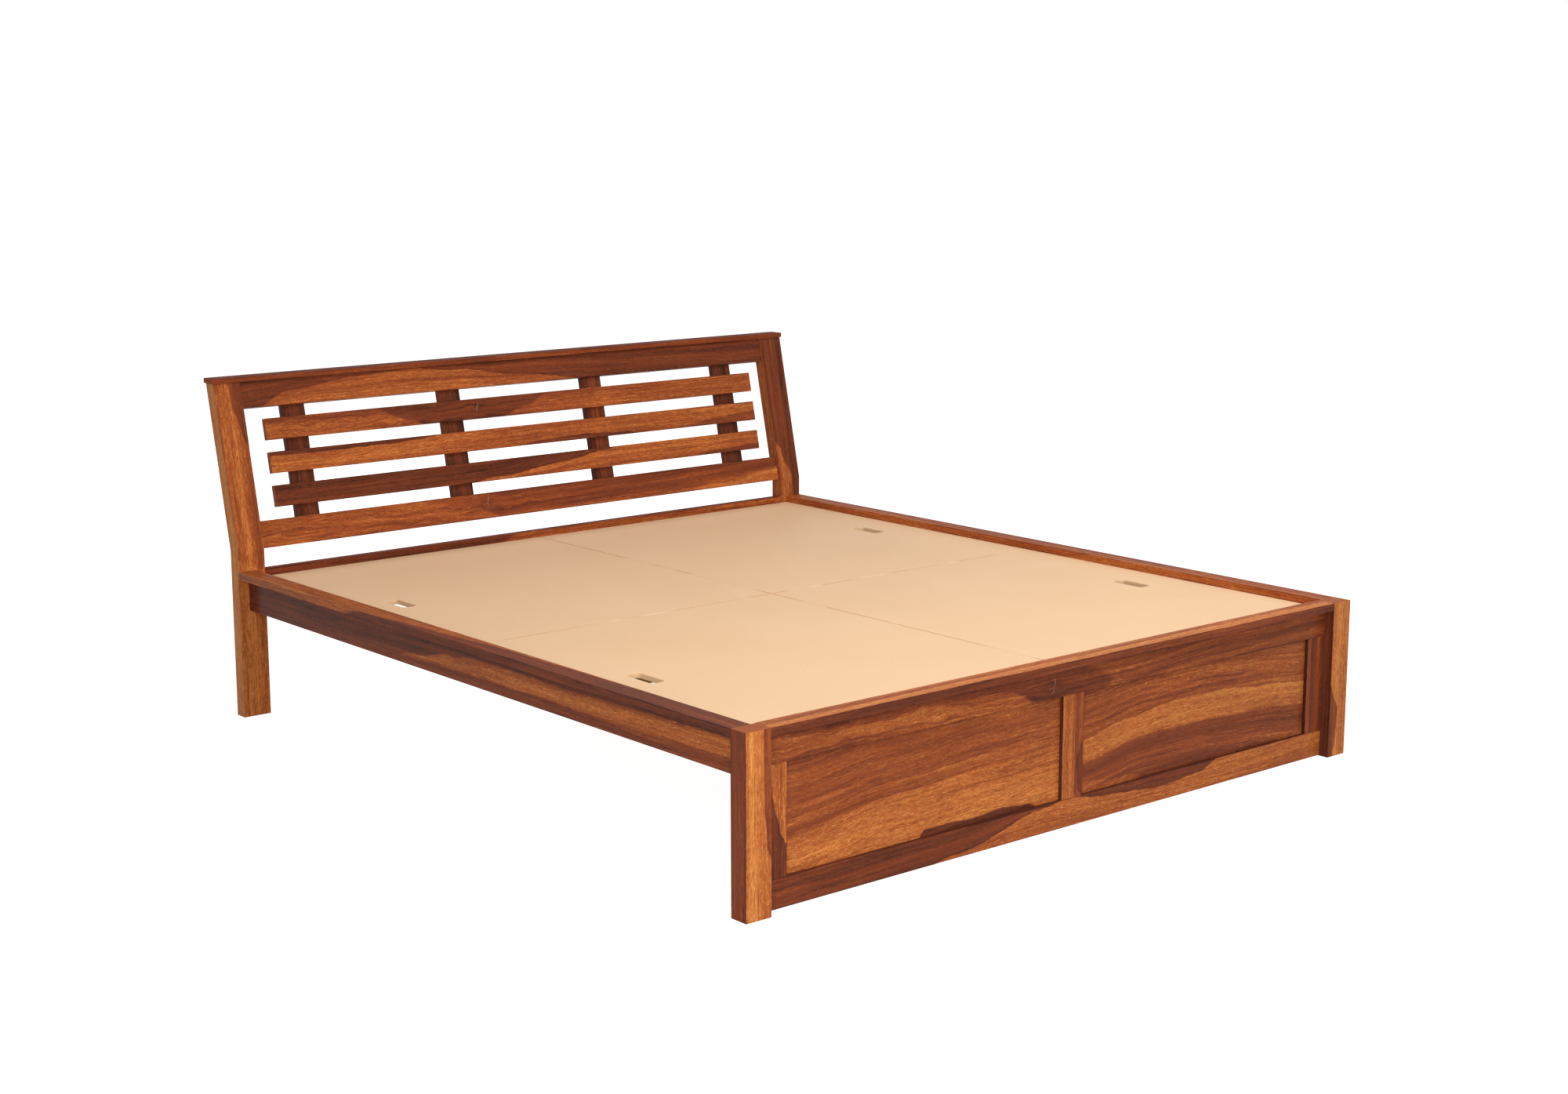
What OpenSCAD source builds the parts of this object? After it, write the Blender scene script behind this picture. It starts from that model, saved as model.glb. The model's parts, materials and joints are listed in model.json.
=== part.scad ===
// Platform bed in solid timber with a leaning slatted headboard, a panelled foot and four loose deck boards.
// X runs across the bed, Y from the foot to the head, Z up. The origin is on the floor, under the middle.

/* [Overall] */
// Width over the outer faces of the posts
bed_w = 1930; // [1600:5:2200]
// Length at the floor, from the front of the foot posts to the back of the head posts
bed_l = 2127; // [2050:1:2250]
// Height of the foot posts, which is also the height of the caps
foot_h = 391; // [370:1:430]
// Height of the headboard over its cap
head_h = 889; // [850:1:1050]

/* [Posts] */
// Width of a foot post, across the bed
foot_post_w = 65; // [60:1:75]
// Depth of a foot post, along the bed
foot_post_d = 48; // [44:1:60]
// Width of a head post, across the bed
head_post_w = 77; // [70:1:90]
// Depth of a head post, square to its face
head_post_d = 39; // [36:1:46]
// Height at which the front of a head post starts to lean back
kink_h = 446; // [436:1:470]
// Lean of the upper head post, in degrees
rake = 12.6; // [6:0.2:16]

/* [Side rails and caps] */
// Distance from the outer face of a post to the outer face of a side rail
rail_inset = 28; // [24:1:32]
// Thickness of a side rail
rail_t = 23; // [21:1:26]
// Height of a side rail
rail_h = 86; // [80:1:100]
// Thickness of the side caps and the foot cap
cap_t = 19; // [15:1:24]
// How far the foot cap reaches past the back of the foot posts
foot_cap_lip = 3; // [0:1:8]

/* [Foot frame] */
// Thickness of the foot frame
frame_t = 22; // [20:1:26]
// Height of the top rail
foot_top_rail_h = 66; // [60:1:80]
// Height of the bottom rail
foot_bottom_rail_h = 64; // [50:1:90]
// Gap between the bottom rail and the floor
floor_gap = 2; // [1:1:20]
// Width of an end stile
stile_w = 62; // [50:1:80]
// Width of the middle upright
muntin_w = 68; // [50:1:90]
// Thickness of a panel
panel_t = 6; // [5:0.5:8]
// How far the face of a panel lies behind the face of its frame
panel_recess = 10; // [8:0.5:11]
// Depth of the grooves that hold the panels
groove_depth = 8; // [6:1:10]

/* [Headboard] */
// How far the headboard rails lie behind the front of the posts
headrail_recess = 8; // [5:0.5:8]
// Height of the lower rail, up its face
lower_rail_h = 72; // [60:1:85]
// Height of the top rail, up its face
top_rail_h = 71; // [60:1:85]
// Thickness of the headboard cap
head_cap_t = 13; // [10:1:20]
// Overhang of the headboard cap, on all sides
head_cap_over = 4; // [2:1:8]
// Width of a slat
slat_h = 57; // [45:1:65]
// Thickness of a slat
slat_t = 15; // [12:0.5:16]
// Gap between the end of a slat and the post
slat_end_gap = 59; // [40:1:80]
// Width of an upright batten behind the slats
batten_w = 69; // [56:1:80]
// Distance from the end of a slat to the middle of the outermost batten
batten_inset = 96; // [80:1:120]

/* [Head cross rail] */
// Thickness of the head cross rail
head_rail_t = 24; // [22:1:26]
// Height of the head cross rail
head_rail_h = 105; // [95:1:115]

/* [Deck boards] */
// Thickness of a deck board
deck_t = 12; // [9:0.5:15]
// Distance from the front of the foot posts to the crosswise seam
seam_from_foot = 1052; // [1030:1:1070]
// Distance from the bed's middle line to the lengthwise seam, toward the left side
seam_shift = 17; // [0:1:20]
// Running gap around each deck board
board_gap = 1; // [0.5:0.25:2]
// Width of a finger slot
slot_w = 38; // [30:1:45]
// Length of a finger slot
slot_l = 98; // [80:1:110]
// Corner radius of a finger slot
slot_r = 10; // [4:1:14]
// Distance from the left side rail to the middle of its finger slots
slot_from_left = 115; // [90:1:150]
// Distance from the right side rail to the middle of its finger slots
slot_from_right = 138; // [90:1:150]
// Distance from the crosswise seam to the middle of a finger slot
slot_from_seam = 506; // [495:1:515]

/* [Ledgers and cross supports] */
// Thickness of the side ledgers
side_ledger_t = 25; // [20:1:35]
// Height of the side ledgers
side_ledger_h = 60; // [50:1:70]
// Thickness of the end ledgers
end_ledger_t = 25; // [20:1:30]
// Height of the end ledgers
end_ledger_h = 20; // [16:1:20]
// Width of a cross support
support_w = 60; // [50:1:70]
// Thickness of a cross support
support_t = 25; // [20:1:30]
// Distance between the middles of neighbouring cross supports
support_pitch = 400; // [390:1:405]

/* [Centre beam and legs] */
// Width of the centre beam
beam_w = 45; // [40:1:60]
// Height of the centre beam
beam_h = 60; // [50:1:75]
// Length of a centre leg along the bed
leg_d = 60; // [50:1:80]
// Thickness of the leg's cheek beside the beam
cheek_t = 20; // [16:1:26]

/* [Steel] */
// Thickness of the corner brackets
bracket_t = 4; // [3:0.5:5]
// Length of each leg of a corner bracket
bracket_l = 60; // [50:1:70]
// Height of a corner bracket
bracket_h = 30; // [26:1:32]
// Thickness of the beam hangers
hanger_t = 2.5; // [2:0.5:3]
// Length of the seat of a beam hanger
hanger_seat = 35; // [25:1:50]
// Width of each flange of a beam hanger
hanger_flange = 25; // [22:1:35]
// Diameter of the bolts through the centre legs
bolt_d = 8; // [6:1:10]
// Shank diameter of the wood screws
screw_d = 4; // [3:0.5:5]

/* [Joinery] */
// Diameter of the dowels between side rails and posts
rail_dowel_d = 10; // [8:1:10]
// How deep a rail dowel sits in each piece
rail_dowel_depth = 20; // [15:1:24]
// Diameter of the dowels under the caps
cap_dowel_d = 8; // [6:1:8]
// Wood between a rail dowel and the end of a tenon
tenon_gap = 3; // [2:0.5:5]
// Shoulder left above and below a tenon
tenon_shoulder = 10; // [8:1:14]
// Clearance between a tenon, dowel or panel and the wood around it
joint_gap = 0.3; // [0.2:0.05:0.4]

/* [Hidden] */

$fn = 24;
honey = [0.74, 0.43, 0.21];
red_brown = [0.50, 0.25, 0.15];
deck_tan = [0.93, 0.77, 0.59];
pale_wood = [0.83, 0.69, 0.48];
steel = [0.72, 0.72, 0.74];

left = -1;
right = 1;
batten_count = 4;
slat_count = 3;
support_count = 5;

// Heads and lengths of the fasteners
screw_head_d = 2 * screw_d;
screw_head_h = 2.5;
ledger_screw_l = 38;
support_screw_l = 45;
plate_screw_l = 16;
plate_head_h = 2.5;
drive_w = 1;
drive_depth = 1.2;
slat_screw_spacing = 30;
bolt_head_h = 5.5;
nut_h = 6.5;
washer_t = 1.6;

// Heights shared by the pieces around the deck
half_w = bed_w / 2;
rail_top = foot_h - cap_t;
rail_bottom = rail_top - rail_h;
deck_z = rail_top - deck_t;
beam_top = deck_z - support_t;
beam_bottom = beam_top - beam_h;
support_end_gap = 1;

// The side rails
rail_out = half_w - rail_inset;
rail_in = rail_out - rail_t;
rail_mid = rail_out - rail_t / 2;
foot_inner = half_w - foot_post_w;
head_inner = half_w - head_post_w;

// The headboard above the kink; its rails and battens end level with the backs of the posts
post_top = head_h - head_cap_t;
lean_back = (post_top - kink_h) * tan(rake);
raked_d = head_post_d / cos(rake);
headrail_back = head_post_d;
headrail_t = headrail_back - headrail_recess;
top_rail_top = (post_top - kink_h + headrail_recess * sin(rake)) / cos(rake);
top_rail_bottom = top_rail_top - top_rail_h;
batten_front = headrail_recess + slat_t;
slat_gap = (top_rail_bottom - lower_rail_h - slat_count * slat_h) / (slat_count + 1);
slat_half_l = head_inner - slat_end_gap;
slat_screw_cover = 3;
slat_screw_l = headrail_t - slat_screw_cover;

// Places along the bed
overall_l = bed_l - head_post_d + lean_back + raked_d + head_cap_over;
foot_y = -overall_l / 2;
head_y = foot_y + bed_l - head_post_d;
head_cap_y = head_y + lean_back - head_cap_over;
frame_back = foot_y + foot_post_d;
frame_front = frame_back - frame_t;
deck_foot_y = frame_back + foot_cap_lip;
seam_y = foot_y + seam_from_foot;
ledger_gap = 5;
ledger_from = frame_back + bracket_l + ledger_gap;
ledger_to = head_y - bracket_l - ledger_gap;
ledger_end_inset = 30;
end_screw_count = 6;
end_screw_margin = 100;
support_head_drop = 0.4;

// The corner brackets, with the distances of their screws from the corner
bracket_gap = 2;
bracket_top = deck_z - end_ledger_h - bracket_gap;
bracket_mid = bracket_top - bracket_h / 2;
bracket_screw_near = 19;
bracket_screw_far = 48;

// The foot frame; the tenons of its uprights end below the bracket screws
foot_top_rail_bottom = rail_top - foot_top_rail_h;
foot_bottom_rail_top = floor_gap + foot_bottom_rail_h;
stile_x = foot_inner - stile_w / 2;
screw_wood = 3;
upright_tenon_l = bracket_mid - screw_d / 2 - screw_wood - foot_top_rail_bottom;

// Tenons and dowels
tenon_root = 1;
tenon_end_gap = 1;
dowel_clear = rail_out - rail_t / 2 - rail_dowel_d / 2 - tenon_gap;
foot_tenon_l = dowel_clear - foot_inner;
head_tenon_l = dowel_clear - head_inner;
frame_tenon_t = 10;
batten_tenon_t = 8;
batten_tenon_l = 12;
headrail_tenon_t = 14;
head_rail_tenon_t = 12;
rail_dowel_inset = 22;
cap_dowel_in_cap = 10;
cap_dowel_in_rail = 14;
head_cap_dowel_in_cap = 8;
cap_dowel_count = 5;
cap_dowel_margin = 150;

// Hangers and legs
hanger_fit = 0.3;
hanger_screw_drop = 14;
leg_top_gap = 5;
leg_y = [support_y(2), support_y(4)];
cheek_face = beam_w / 2 + cheek_t;
bolt_drop = 30;
bolt_fit = 0.2;
nut_w = 2 * bolt_d;
washer_d = 2.5 * bolt_d;

// Sides of a hexagon, facets of a rounded slot corner, and how far a cutter reaches past a piece
hexagon = 6;
corner_facets = 48;
cut = 1;

// A block between two opposite corners
module block(low, high) {
    translate(low)
        cube(high - low);
}

// The children, built for the right side of the bed, on the side that is asked for
module on_side(side) {
    mirror([side == left ? 1 : 0, 0, 0])
        children();
}

// Takes the children to the leaning frame of the headboard: Y is depth behind the face of the posts,
// Z is distance up the face from the kink
module raked() {
    translate([0, head_y, kink_h])
        rotate([-rake, 0, 0])
            children();
}

// A countersunk wood screw along -Z with the top of its head at the origin; grow widens it for its hole
module wood_screw(l, grow = 0) {
    translate([0, 0, -screw_head_h])
        cylinder(h = screw_head_h + grow, d1 = screw_d + 2 * grow, d2 = screw_head_d + 2 * grow);
    translate([0, 0, -l - grow])
        cylinder(h = l, d = screw_d + 2 * grow);
}

// The cross recess in a screw head
module drive_recess() {
    for (turn = [0, 90])
        rotate([0, 0, turn])
            translate([-screw_d / 2, -drive_w / 2, -drive_depth])
                cube([screw_d, drive_w, 2 * drive_depth]);
}

module driven_screw(l) {
    difference() {
        wood_screw(l);
        drive_recess();
    }
}

module screw_hole(l) {
    wood_screw(l, joint_gap / 2);
}

// A flat-headed screw for steel plates, along -Z, with the underside of its head at the origin
module plate_screw() {
    difference() {
        union() {
            cylinder(h = plate_head_h, d = screw_head_d);
            translate([0, 0, -plate_screw_l])
                cylinder(h = plate_screw_l + plate_head_h / 2, d = screw_d);
        }
        translate([0, 0, plate_head_h])
            drive_recess();
    }
}

module plate_hole() {
    translate([0, 0, -plate_screw_l - joint_gap])
        cylinder(h = plate_screw_l + joint_gap + cut, d = screw_d + joint_gap);
}

// Foot posts

// The foot rails' tenons, for the right side; grow widens them for the mortises
module foot_tenon(low_z, high_z, grow = 0) {
    mid_y = frame_back - frame_t / 2;
    end_gap = grow > 0 ? tenon_end_gap : 0;
    block([foot_inner - tenon_root, mid_y - frame_tenon_t / 2 - grow, low_z + tenon_shoulder - grow],
          [foot_inner + foot_tenon_l + end_gap, mid_y + frame_tenon_t / 2 + grow,
           high_z - tenon_shoulder + grow]);
}

module foot_post(side) {
    color(honey)
    on_side(side)
    difference() {
        block([foot_inner, foot_y, 0], [half_w, frame_back, foot_h]);
        foot_tenon(foot_top_rail_bottom, rail_top, joint_gap);
        foot_tenon(floor_gap, foot_bottom_rail_top, joint_gap);
        at_rail_dowels(frame_back) rail_dowel(joint_gap / 2);
        at_bracket_post_screws(frame_back, 1) plate_hole();
    }
}

// Head posts

module post_profile() {
    polygon([
        [0, 0],
        [head_post_d, 0],
        [head_post_d, kink_h - head_post_d * tan(rake / 2)],
        [lean_back + raked_d, post_top],
        [lean_back, post_top],
        [0, kink_h]
    ]);
}

// A tenon of a headboard rail, for the right side, in the leaning frame
module headrail_tenon(low, high, grow = 0) {
    mid = headrail_recess + headrail_t / 2;
    end_gap = grow > 0 ? tenon_end_gap : 0;
    block([head_inner - tenon_root, mid - headrail_tenon_t / 2 - grow, low + tenon_shoulder - grow],
          [head_inner + head_tenon_l + end_gap, mid + headrail_tenon_t / 2 + grow,
           high - tenon_shoulder + grow]);
}

// A tenon of the head cross rail, for the right side
module head_rail_tenon(grow = 0) {
    mid_y = head_y + head_rail_t / 2;
    end_gap = grow > 0 ? tenon_end_gap : 0;
    block([head_inner - tenon_root, mid_y - head_rail_tenon_t / 2 - grow,
           foot_h - head_rail_h + tenon_shoulder - grow],
          [head_inner + head_tenon_l + end_gap, mid_y + head_rail_tenon_t / 2 + grow,
           foot_h - tenon_shoulder + grow]);
}

module head_post(side) {
    color(honey)
    on_side(side)
    difference() {
        translate([head_inner, head_y, 0])
            rotate([90, 0, 90])
                linear_extrude(height = head_post_w)
                    post_profile();
        raked() headrail_tenon(0, lower_rail_h, joint_gap);
        raked() headrail_tenon(top_rail_bottom, top_rail_top, joint_gap);
        head_rail_tenon(joint_gap);
        at_rail_dowels(head_y) rail_dowel(joint_gap / 2);
        at_bracket_post_screws(head_y, -1) plate_hole();
    }
}

// Headboard

module headboard_cap() {
    color(red_brown)
    difference() {
        block([-half_w - head_cap_over, head_cap_y, post_top],
              [half_w + head_cap_over, head_cap_y + raked_d + 2 * head_cap_over, head_h]);
        at_head_cap_dowels() cap_dowel(head_cap_dowel_in_cap, cap_dowel_in_rail, joint_gap / 2);
    }
}

// A headboard rail in the leaning frame, with a tenon at each end; spare is wood above its face
module headrail(low, high, spare = 0) {
    block([-head_inner, headrail_recess, low], [head_inner, headrail_back, high + spare]);
    for (side = [left, right])
        on_side(side) headrail_tenon(low, high);
}

module headboard_top_rail() {
    spare = headrail_back * tan(rake);
    color(honey)
    difference() {
        raked() headrail(top_rail_bottom, top_rail_top, spare);
        block([-half_w, head_y, post_top], [half_w, head_cap_y + 2 * raked_d, head_h]);
        for (i = [1 : batten_count])
            raked() batten_tenons(i, joint_gap);
        at_head_cap_dowels() cap_dowel(head_cap_dowel_in_cap, cap_dowel_in_rail, joint_gap / 2);
    }
}

module headboard_lower_rail() {
    color(honey)
    difference() {
        raked() headrail(0, lower_rail_h);
        for (i = [1 : batten_count])
            raked() batten_tenons(i, joint_gap);
    }
}

function batten_x(i) =
    let (outer = slat_half_l - batten_inset)
    -outer + (i - 1) * 2 * outer / (batten_count - 1);

function slat_s(i) = lower_rail_h + i * slat_gap + (i - 1) * slat_h;

// The tenons at both ends of a batten, in the leaning frame
module batten_tenons(i, grow = 0) {
    mid = (batten_front + headrail_back) / 2;
    half = batten_w / 2 - tenon_shoulder + grow;
    end_gap = grow > 0 ? tenon_end_gap : 0;
    for (span = [[lower_rail_h - batten_tenon_l - end_gap, lower_rail_h + tenon_root],
                 [top_rail_bottom - tenon_root, top_rail_bottom + batten_tenon_l + end_gap]])
        block([batten_x(i) - half, mid - batten_tenon_t / 2 - grow, span[0]],
              [batten_x(i) + half, mid + batten_tenon_t / 2 + grow, span[1]]);
}

// Puts the children at the two screws where a batten crosses a slat, driven in from the back
module at_slat_screws(batten, slat) {
    for (shift = [-0.5, 0.5])
        raked()
            translate([batten_x(batten) + shift * slat_screw_spacing, headrail_back,
                       slat_s(slat) + slat_h / 2])
                rotate([-90, 0, 0])
                    children();
}

module headboard_batten(i) {
    color(red_brown)
    difference() {
        raked() union() {
            block([batten_x(i) - batten_w / 2, batten_front, lower_rail_h],
                  [batten_x(i) + batten_w / 2, headrail_back, top_rail_bottom]);
            batten_tenons(i);
        }
        for (slat = [1 : slat_count])
            at_slat_screws(i, slat) screw_hole(slat_screw_l);
    }
}

module headboard_slat(i) {
    color(honey)
    difference() {
        raked()
            block([-slat_half_l, headrail_recess, slat_s(i)],
                  [slat_half_l, batten_front, slat_s(i) + slat_h]);
        for (batten = [1 : batten_count])
            at_slat_screws(batten, i) screw_hole(slat_screw_l);
    }
}

module slat_screws() {
    color(steel)
    for (batten = [1 : batten_count], slat = [1 : slat_count])
        at_slat_screws(batten, slat) driven_screw(slat_screw_l);
}

// Head cross rail

module head_cross_rail() {
    color(red_brown)
    difference() {
        union() {
            block([-head_inner, head_y, foot_h - head_rail_h], [head_inner, head_y + head_rail_t, foot_h]);
            for (side = [left, right])
                on_side(side) head_rail_tenon();
        }
        for (side = [left, right])
            on_side(side) at_bracket_post_screws(head_y, -1) plate_hole();
        at_end_ledger_screws(head_y, -1) screw_hole(ledger_screw_l);
        at_hanger_screws(head_y, -1) plate_hole();
    }
}

// Foot frame

// The upright tenons of a stile or muntin whose middle is at x
module upright_tenons(x, w, grow = 0) {
    mid_y = frame_back - frame_t / 2;
    half = w / 2 - tenon_shoulder + grow;
    end_gap = grow > 0 ? tenon_end_gap : 0;
    for (span = [[foot_bottom_rail_top - upright_tenon_l - end_gap, foot_bottom_rail_top + tenon_root],
                 [foot_top_rail_bottom - tenon_root, foot_top_rail_bottom + upright_tenon_l + end_gap]])
        block([x - half, mid_y - frame_tenon_t / 2 - grow, span[0]],
              [x + half, mid_y + frame_tenon_t / 2 + grow, span[1]]);
}

module upright(x, w) {
    color(honey)
    difference() {
        union() {
            block([x - w / 2, frame_front, foot_bottom_rail_top],
                  [x + w / 2, frame_back, foot_top_rail_bottom]);
            upright_tenons(x, w);
        }
        panel_spaces();
    }
}

module panel_block(side, grow = 0) {
    hold = groove_depth - tenon_end_gap + (grow > 0 ? tenon_end_gap : 0);
    face = frame_front + panel_recess;
    on_side(side)
        block([muntin_w / 2 - hold, face - grow, foot_bottom_rail_top - hold],
              [foot_inner - stile_w + hold, face + panel_t + grow, foot_top_rail_bottom + hold]);
}

module panel_spaces() {
    for (side = [left, right])
        panel_block(side, joint_gap / 2);
}

module foot_panel(side) {
    color(side == left ? honey : red_brown)
        panel_block(side);
}

module foot_stile(side) {
    upright(side * stile_x, stile_w);
}

module foot_muntin() {
    upright(0, muntin_w);
}

module foot_rail(low_z, high_z) {
    difference() {
        union() {
            block([-foot_inner, frame_front, low_z], [foot_inner, frame_back, high_z]);
            for (side = [left, right])
                on_side(side) foot_tenon(low_z, high_z);
        }
        panel_spaces();
        upright_tenons(0, muntin_w, joint_gap);
        upright_tenons(-stile_x, stile_w, joint_gap);
        upright_tenons(stile_x, stile_w, joint_gap);
    }
}

module foot_top_rail() {
    color(honey)
    difference() {
        foot_rail(foot_top_rail_bottom, rail_top);
        for (side = [left, right])
            on_side(side) at_bracket_post_screws(frame_back, 1) plate_hole();
        at_end_ledger_screws(frame_back, 1) screw_hole(ledger_screw_l);
        at_hanger_screws(frame_back, 1) plate_hole();
        at_foot_cap_dowels() cap_dowel(cap_dowel_in_cap, cap_dowel_in_rail, joint_gap / 2);
    }
}

module foot_bottom_rail() {
    color(red_brown)
        foot_rail(floor_gap, foot_bottom_rail_top);
}

module foot_cap() {
    color(honey)
    difference() {
        block([-foot_inner, foot_y, rail_top], [foot_inner, deck_foot_y, foot_h]);
        at_foot_cap_dowels() cap_dowel(cap_dowel_in_cap, cap_dowel_in_rail, joint_gap / 2);
    }
}

// Side rails and caps

module side_rail(side) {
    color(red_brown)
    on_side(side)
    difference() {
        block([rail_in, frame_back, rail_bottom], [rail_out, head_y, rail_top]);
        at_rail_dowels(frame_back) rail_dowel(joint_gap / 2);
        at_rail_dowels(head_y) rail_dowel(joint_gap / 2);
        at_bracket_rail_screws(frame_back, 1) plate_hole();
        at_bracket_rail_screws(head_y, -1) plate_hole();
        at_side_ledger_screws() screw_hole(ledger_screw_l);
        at_side_cap_dowels() cap_dowel(cap_dowel_in_cap, cap_dowel_in_rail, joint_gap / 2);
    }
}

module side_cap(side) {
    color(honey)
    on_side(side)
    difference() {
        block([rail_in, frame_back, rail_top], [half_w, head_y, foot_h]);
        at_side_cap_dowels() cap_dowel(cap_dowel_in_cap, cap_dowel_in_rail, joint_gap / 2);
    }
}

// Dowels

// A dowel between a side rail's end and a post, half in each
module rail_dowel(grow = 0) {
    rotate([90, 0, 0])
        cylinder(h = 2 * (rail_dowel_depth + grow), d = rail_dowel_d + 2 * grow, center = true);
}

module at_rail_dowels(y) {
    for (z = [rail_bottom + rail_dowel_inset, rail_top - rail_dowel_inset])
        translate([rail_mid, y, z])
            children();
}

module rail_dowels() {
    color(pale_wood)
    for (side = [left, right], y = [frame_back, head_y])
        on_side(side) at_rail_dowels(y) rail_dowel();
}

// A dowel under a cap, with its joint at the origin
module cap_dowel(up, down, grow = 0) {
    translate([0, 0, -down - grow])
        cylinder(h = down + up + 2 * grow, d = cap_dowel_d + 2 * grow);
}

// The place of one of a row of cap dowels between two ends
function along(low, high, i, count, margin) =
    low + margin + (i - 1) * (high - low - 2 * margin) / (count - 1);

module at_side_cap_dowels() {
    for (i = [1 : cap_dowel_count])
        translate([rail_mid, along(frame_back, head_y, i, cap_dowel_count, cap_dowel_margin), rail_top])
            children();
}

module at_foot_cap_dowels() {
    for (i = [1 : cap_dowel_count])
        translate([along(-foot_inner, foot_inner, i, cap_dowel_count, cap_dowel_margin),
                   frame_back - frame_t / 2, rail_top])
            children();
}

module at_head_cap_dowels() {
    for (i = [1 : cap_dowel_count])
        translate([along(-head_inner, head_inner, i, cap_dowel_count, cap_dowel_margin),
                   head_y + lean_back + (headrail_recess + headrail_t / 2) / cos(rake), post_top])
            children();
}

module cap_dowels() {
    color(pale_wood) {
        for (side = [left, right])
            on_side(side) at_side_cap_dowels() cap_dowel(cap_dowel_in_cap, cap_dowel_in_rail);
        at_foot_cap_dowels() cap_dowel(cap_dowel_in_cap, cap_dowel_in_rail);
        at_head_cap_dowels() cap_dowel(head_cap_dowel_in_cap, cap_dowel_in_rail);
    }
}

// Deck boards

// A plate with rounded corners, centred on the origin
module rounded_plate(w, l, r, h) {
    for (size = [[w - 2 * r, l], [w, l - 2 * r]])
        translate([-size[0] / 2, -size[1] / 2, 0])
            cube([size[0], size[1], h]);
    for (x = [-1, 1], y = [-1, 1])
        translate([x * (w / 2 - r), y * (l / 2 - r), 0])
            cylinder(h = h, r = r, $fn = corner_facets);
}

// A board for one side, from the seam to the foot or the head
module deck_board(side, end) {
    to_foot = end == "foot";
    low_y = to_foot ? deck_foot_y + board_gap : seam_y + board_gap / 2;
    high_y = to_foot ? seam_y - board_gap / 2 : head_y - board_gap;
    seam_x = side * -seam_shift;
    slot_x = rail_in - (side == left ? slot_from_left : slot_from_right);
    color(deck_tan)
    on_side(side)
    difference() {
        block([seam_x + board_gap / 2, low_y, deck_z], [rail_in - board_gap, high_y, rail_top]);
        translate([slot_x, seam_y + (to_foot ? -1 : 1) * slot_from_seam, deck_z - cut])
            rounded_plate(slot_w, slot_l, slot_r, deck_t + 2 * cut);
    }
}

// Ledgers and cross supports

function support_y(i) = seam_y + (i - (support_count + 1) / 2) * support_pitch;

module at_side_ledger_screws() {
    places = concat(
        [ledger_from + ledger_end_inset],
        [for (i = [1 : support_count - 1]) support_y(i) + support_pitch / 2],
        [ledger_to - ledger_end_inset]
    );
    for (y = places)
        translate([rail_in - side_ledger_t, y, deck_z - (support_t + side_ledger_h) / 2])
            rotate([0, -90, 0])
                children();
}

module side_ledger(side) {
    color(pale_wood)
    on_side(side)
    difference() {
        block([rail_in - side_ledger_t, ledger_from, deck_z - side_ledger_h], [rail_in, ledger_to, deck_z]);
        for (i = [1 : support_count])
            block([rail_in - side_ledger_t - cut, support_y(i) - support_w / 2 - joint_gap, beam_top],
                  [rail_in + cut, support_y(i) + support_w / 2 + joint_gap, deck_z + cut]);
        at_side_ledger_screws() screw_hole(ledger_screw_l);
        at_support_end_screws() screw_hole(support_screw_l);
    }
}

// The screws of an end ledger; inward is 1 at the foot and -1 at the head
module at_end_ledger_screws(y, inward) {
    for (i = [1 : end_screw_count])
        translate([along(-rail_in, rail_in, i, end_screw_count, end_screw_margin),
                   y + inward * end_ledger_t, deck_z - end_ledger_h / 2])
            rotate([-inward * 90, 0, 0])
                children();
}

module end_ledger(y, inward) {
    edge = y + inward * end_ledger_t;
    color(pale_wood)
    difference() {
        block([-rail_in + support_end_gap, min(y, edge), deck_z - end_ledger_h],
              [rail_in - support_end_gap, max(y, edge), deck_z]);
        at_end_ledger_screws(y, inward) screw_hole(ledger_screw_l);
    }
}

module end_ledger_foot() {
    end_ledger(frame_back, 1);
}

module end_ledger_head() {
    end_ledger(head_y, -1);
}

module ledger_screws() {
    color(steel) {
        for (side = [left, right])
            on_side(side) at_side_ledger_screws() driven_screw(ledger_screw_l);
        at_end_ledger_screws(frame_back, 1) driven_screw(ledger_screw_l);
        at_end_ledger_screws(head_y, -1) driven_screw(ledger_screw_l);
    }
}

module at_support_end_screws() {
    for (i = [1 : support_count])
        translate([rail_in - side_ledger_t / 2, support_y(i), deck_z - support_head_drop])
            children();
}

module at_support_beam_screws() {
    for (i = [1 : support_count])
        translate([0, support_y(i), deck_z - support_head_drop])
            children();
}

module cross_support(i) {
    color(pale_wood)
    difference() {
        block([-rail_in + support_end_gap, support_y(i) - support_w / 2, beam_top],
              [rail_in - support_end_gap, support_y(i) + support_w / 2, deck_z]);
        for (side = [left, right])
            on_side(side) at_support_end_screws() screw_hole(support_screw_l);
        at_support_beam_screws() screw_hole(support_screw_l);
    }
}

module support_screws() {
    color(steel) {
        for (side = [left, right])
            on_side(side) at_support_end_screws() driven_screw(support_screw_l);
        at_support_beam_screws() driven_screw(support_screw_l);
    }
}

// Centre beam, hangers and legs

module at_bolts() {
    for (y = leg_y)
        translate([0, y, beam_top - bolt_drop])
            rotate([0, 90, 0])
                children();
}

module bolt_hole() {
    translate([0, 0, -beam_w / 2 - cut])
        cylinder(h = beam_w / 2 + cheek_face + 2 * cut, d = bolt_d + 2 * bolt_fit);
}

module centre_beam() {
    color(pale_wood)
    difference() {
        block([-beam_w / 2, frame_back + hanger_t + hanger_fit, beam_bottom],
              [beam_w / 2, head_y - hanger_t - hanger_fit, beam_top]);
        at_support_beam_screws() screw_hole(support_screw_l);
        at_bolts() bolt_hole();
    }
}

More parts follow.
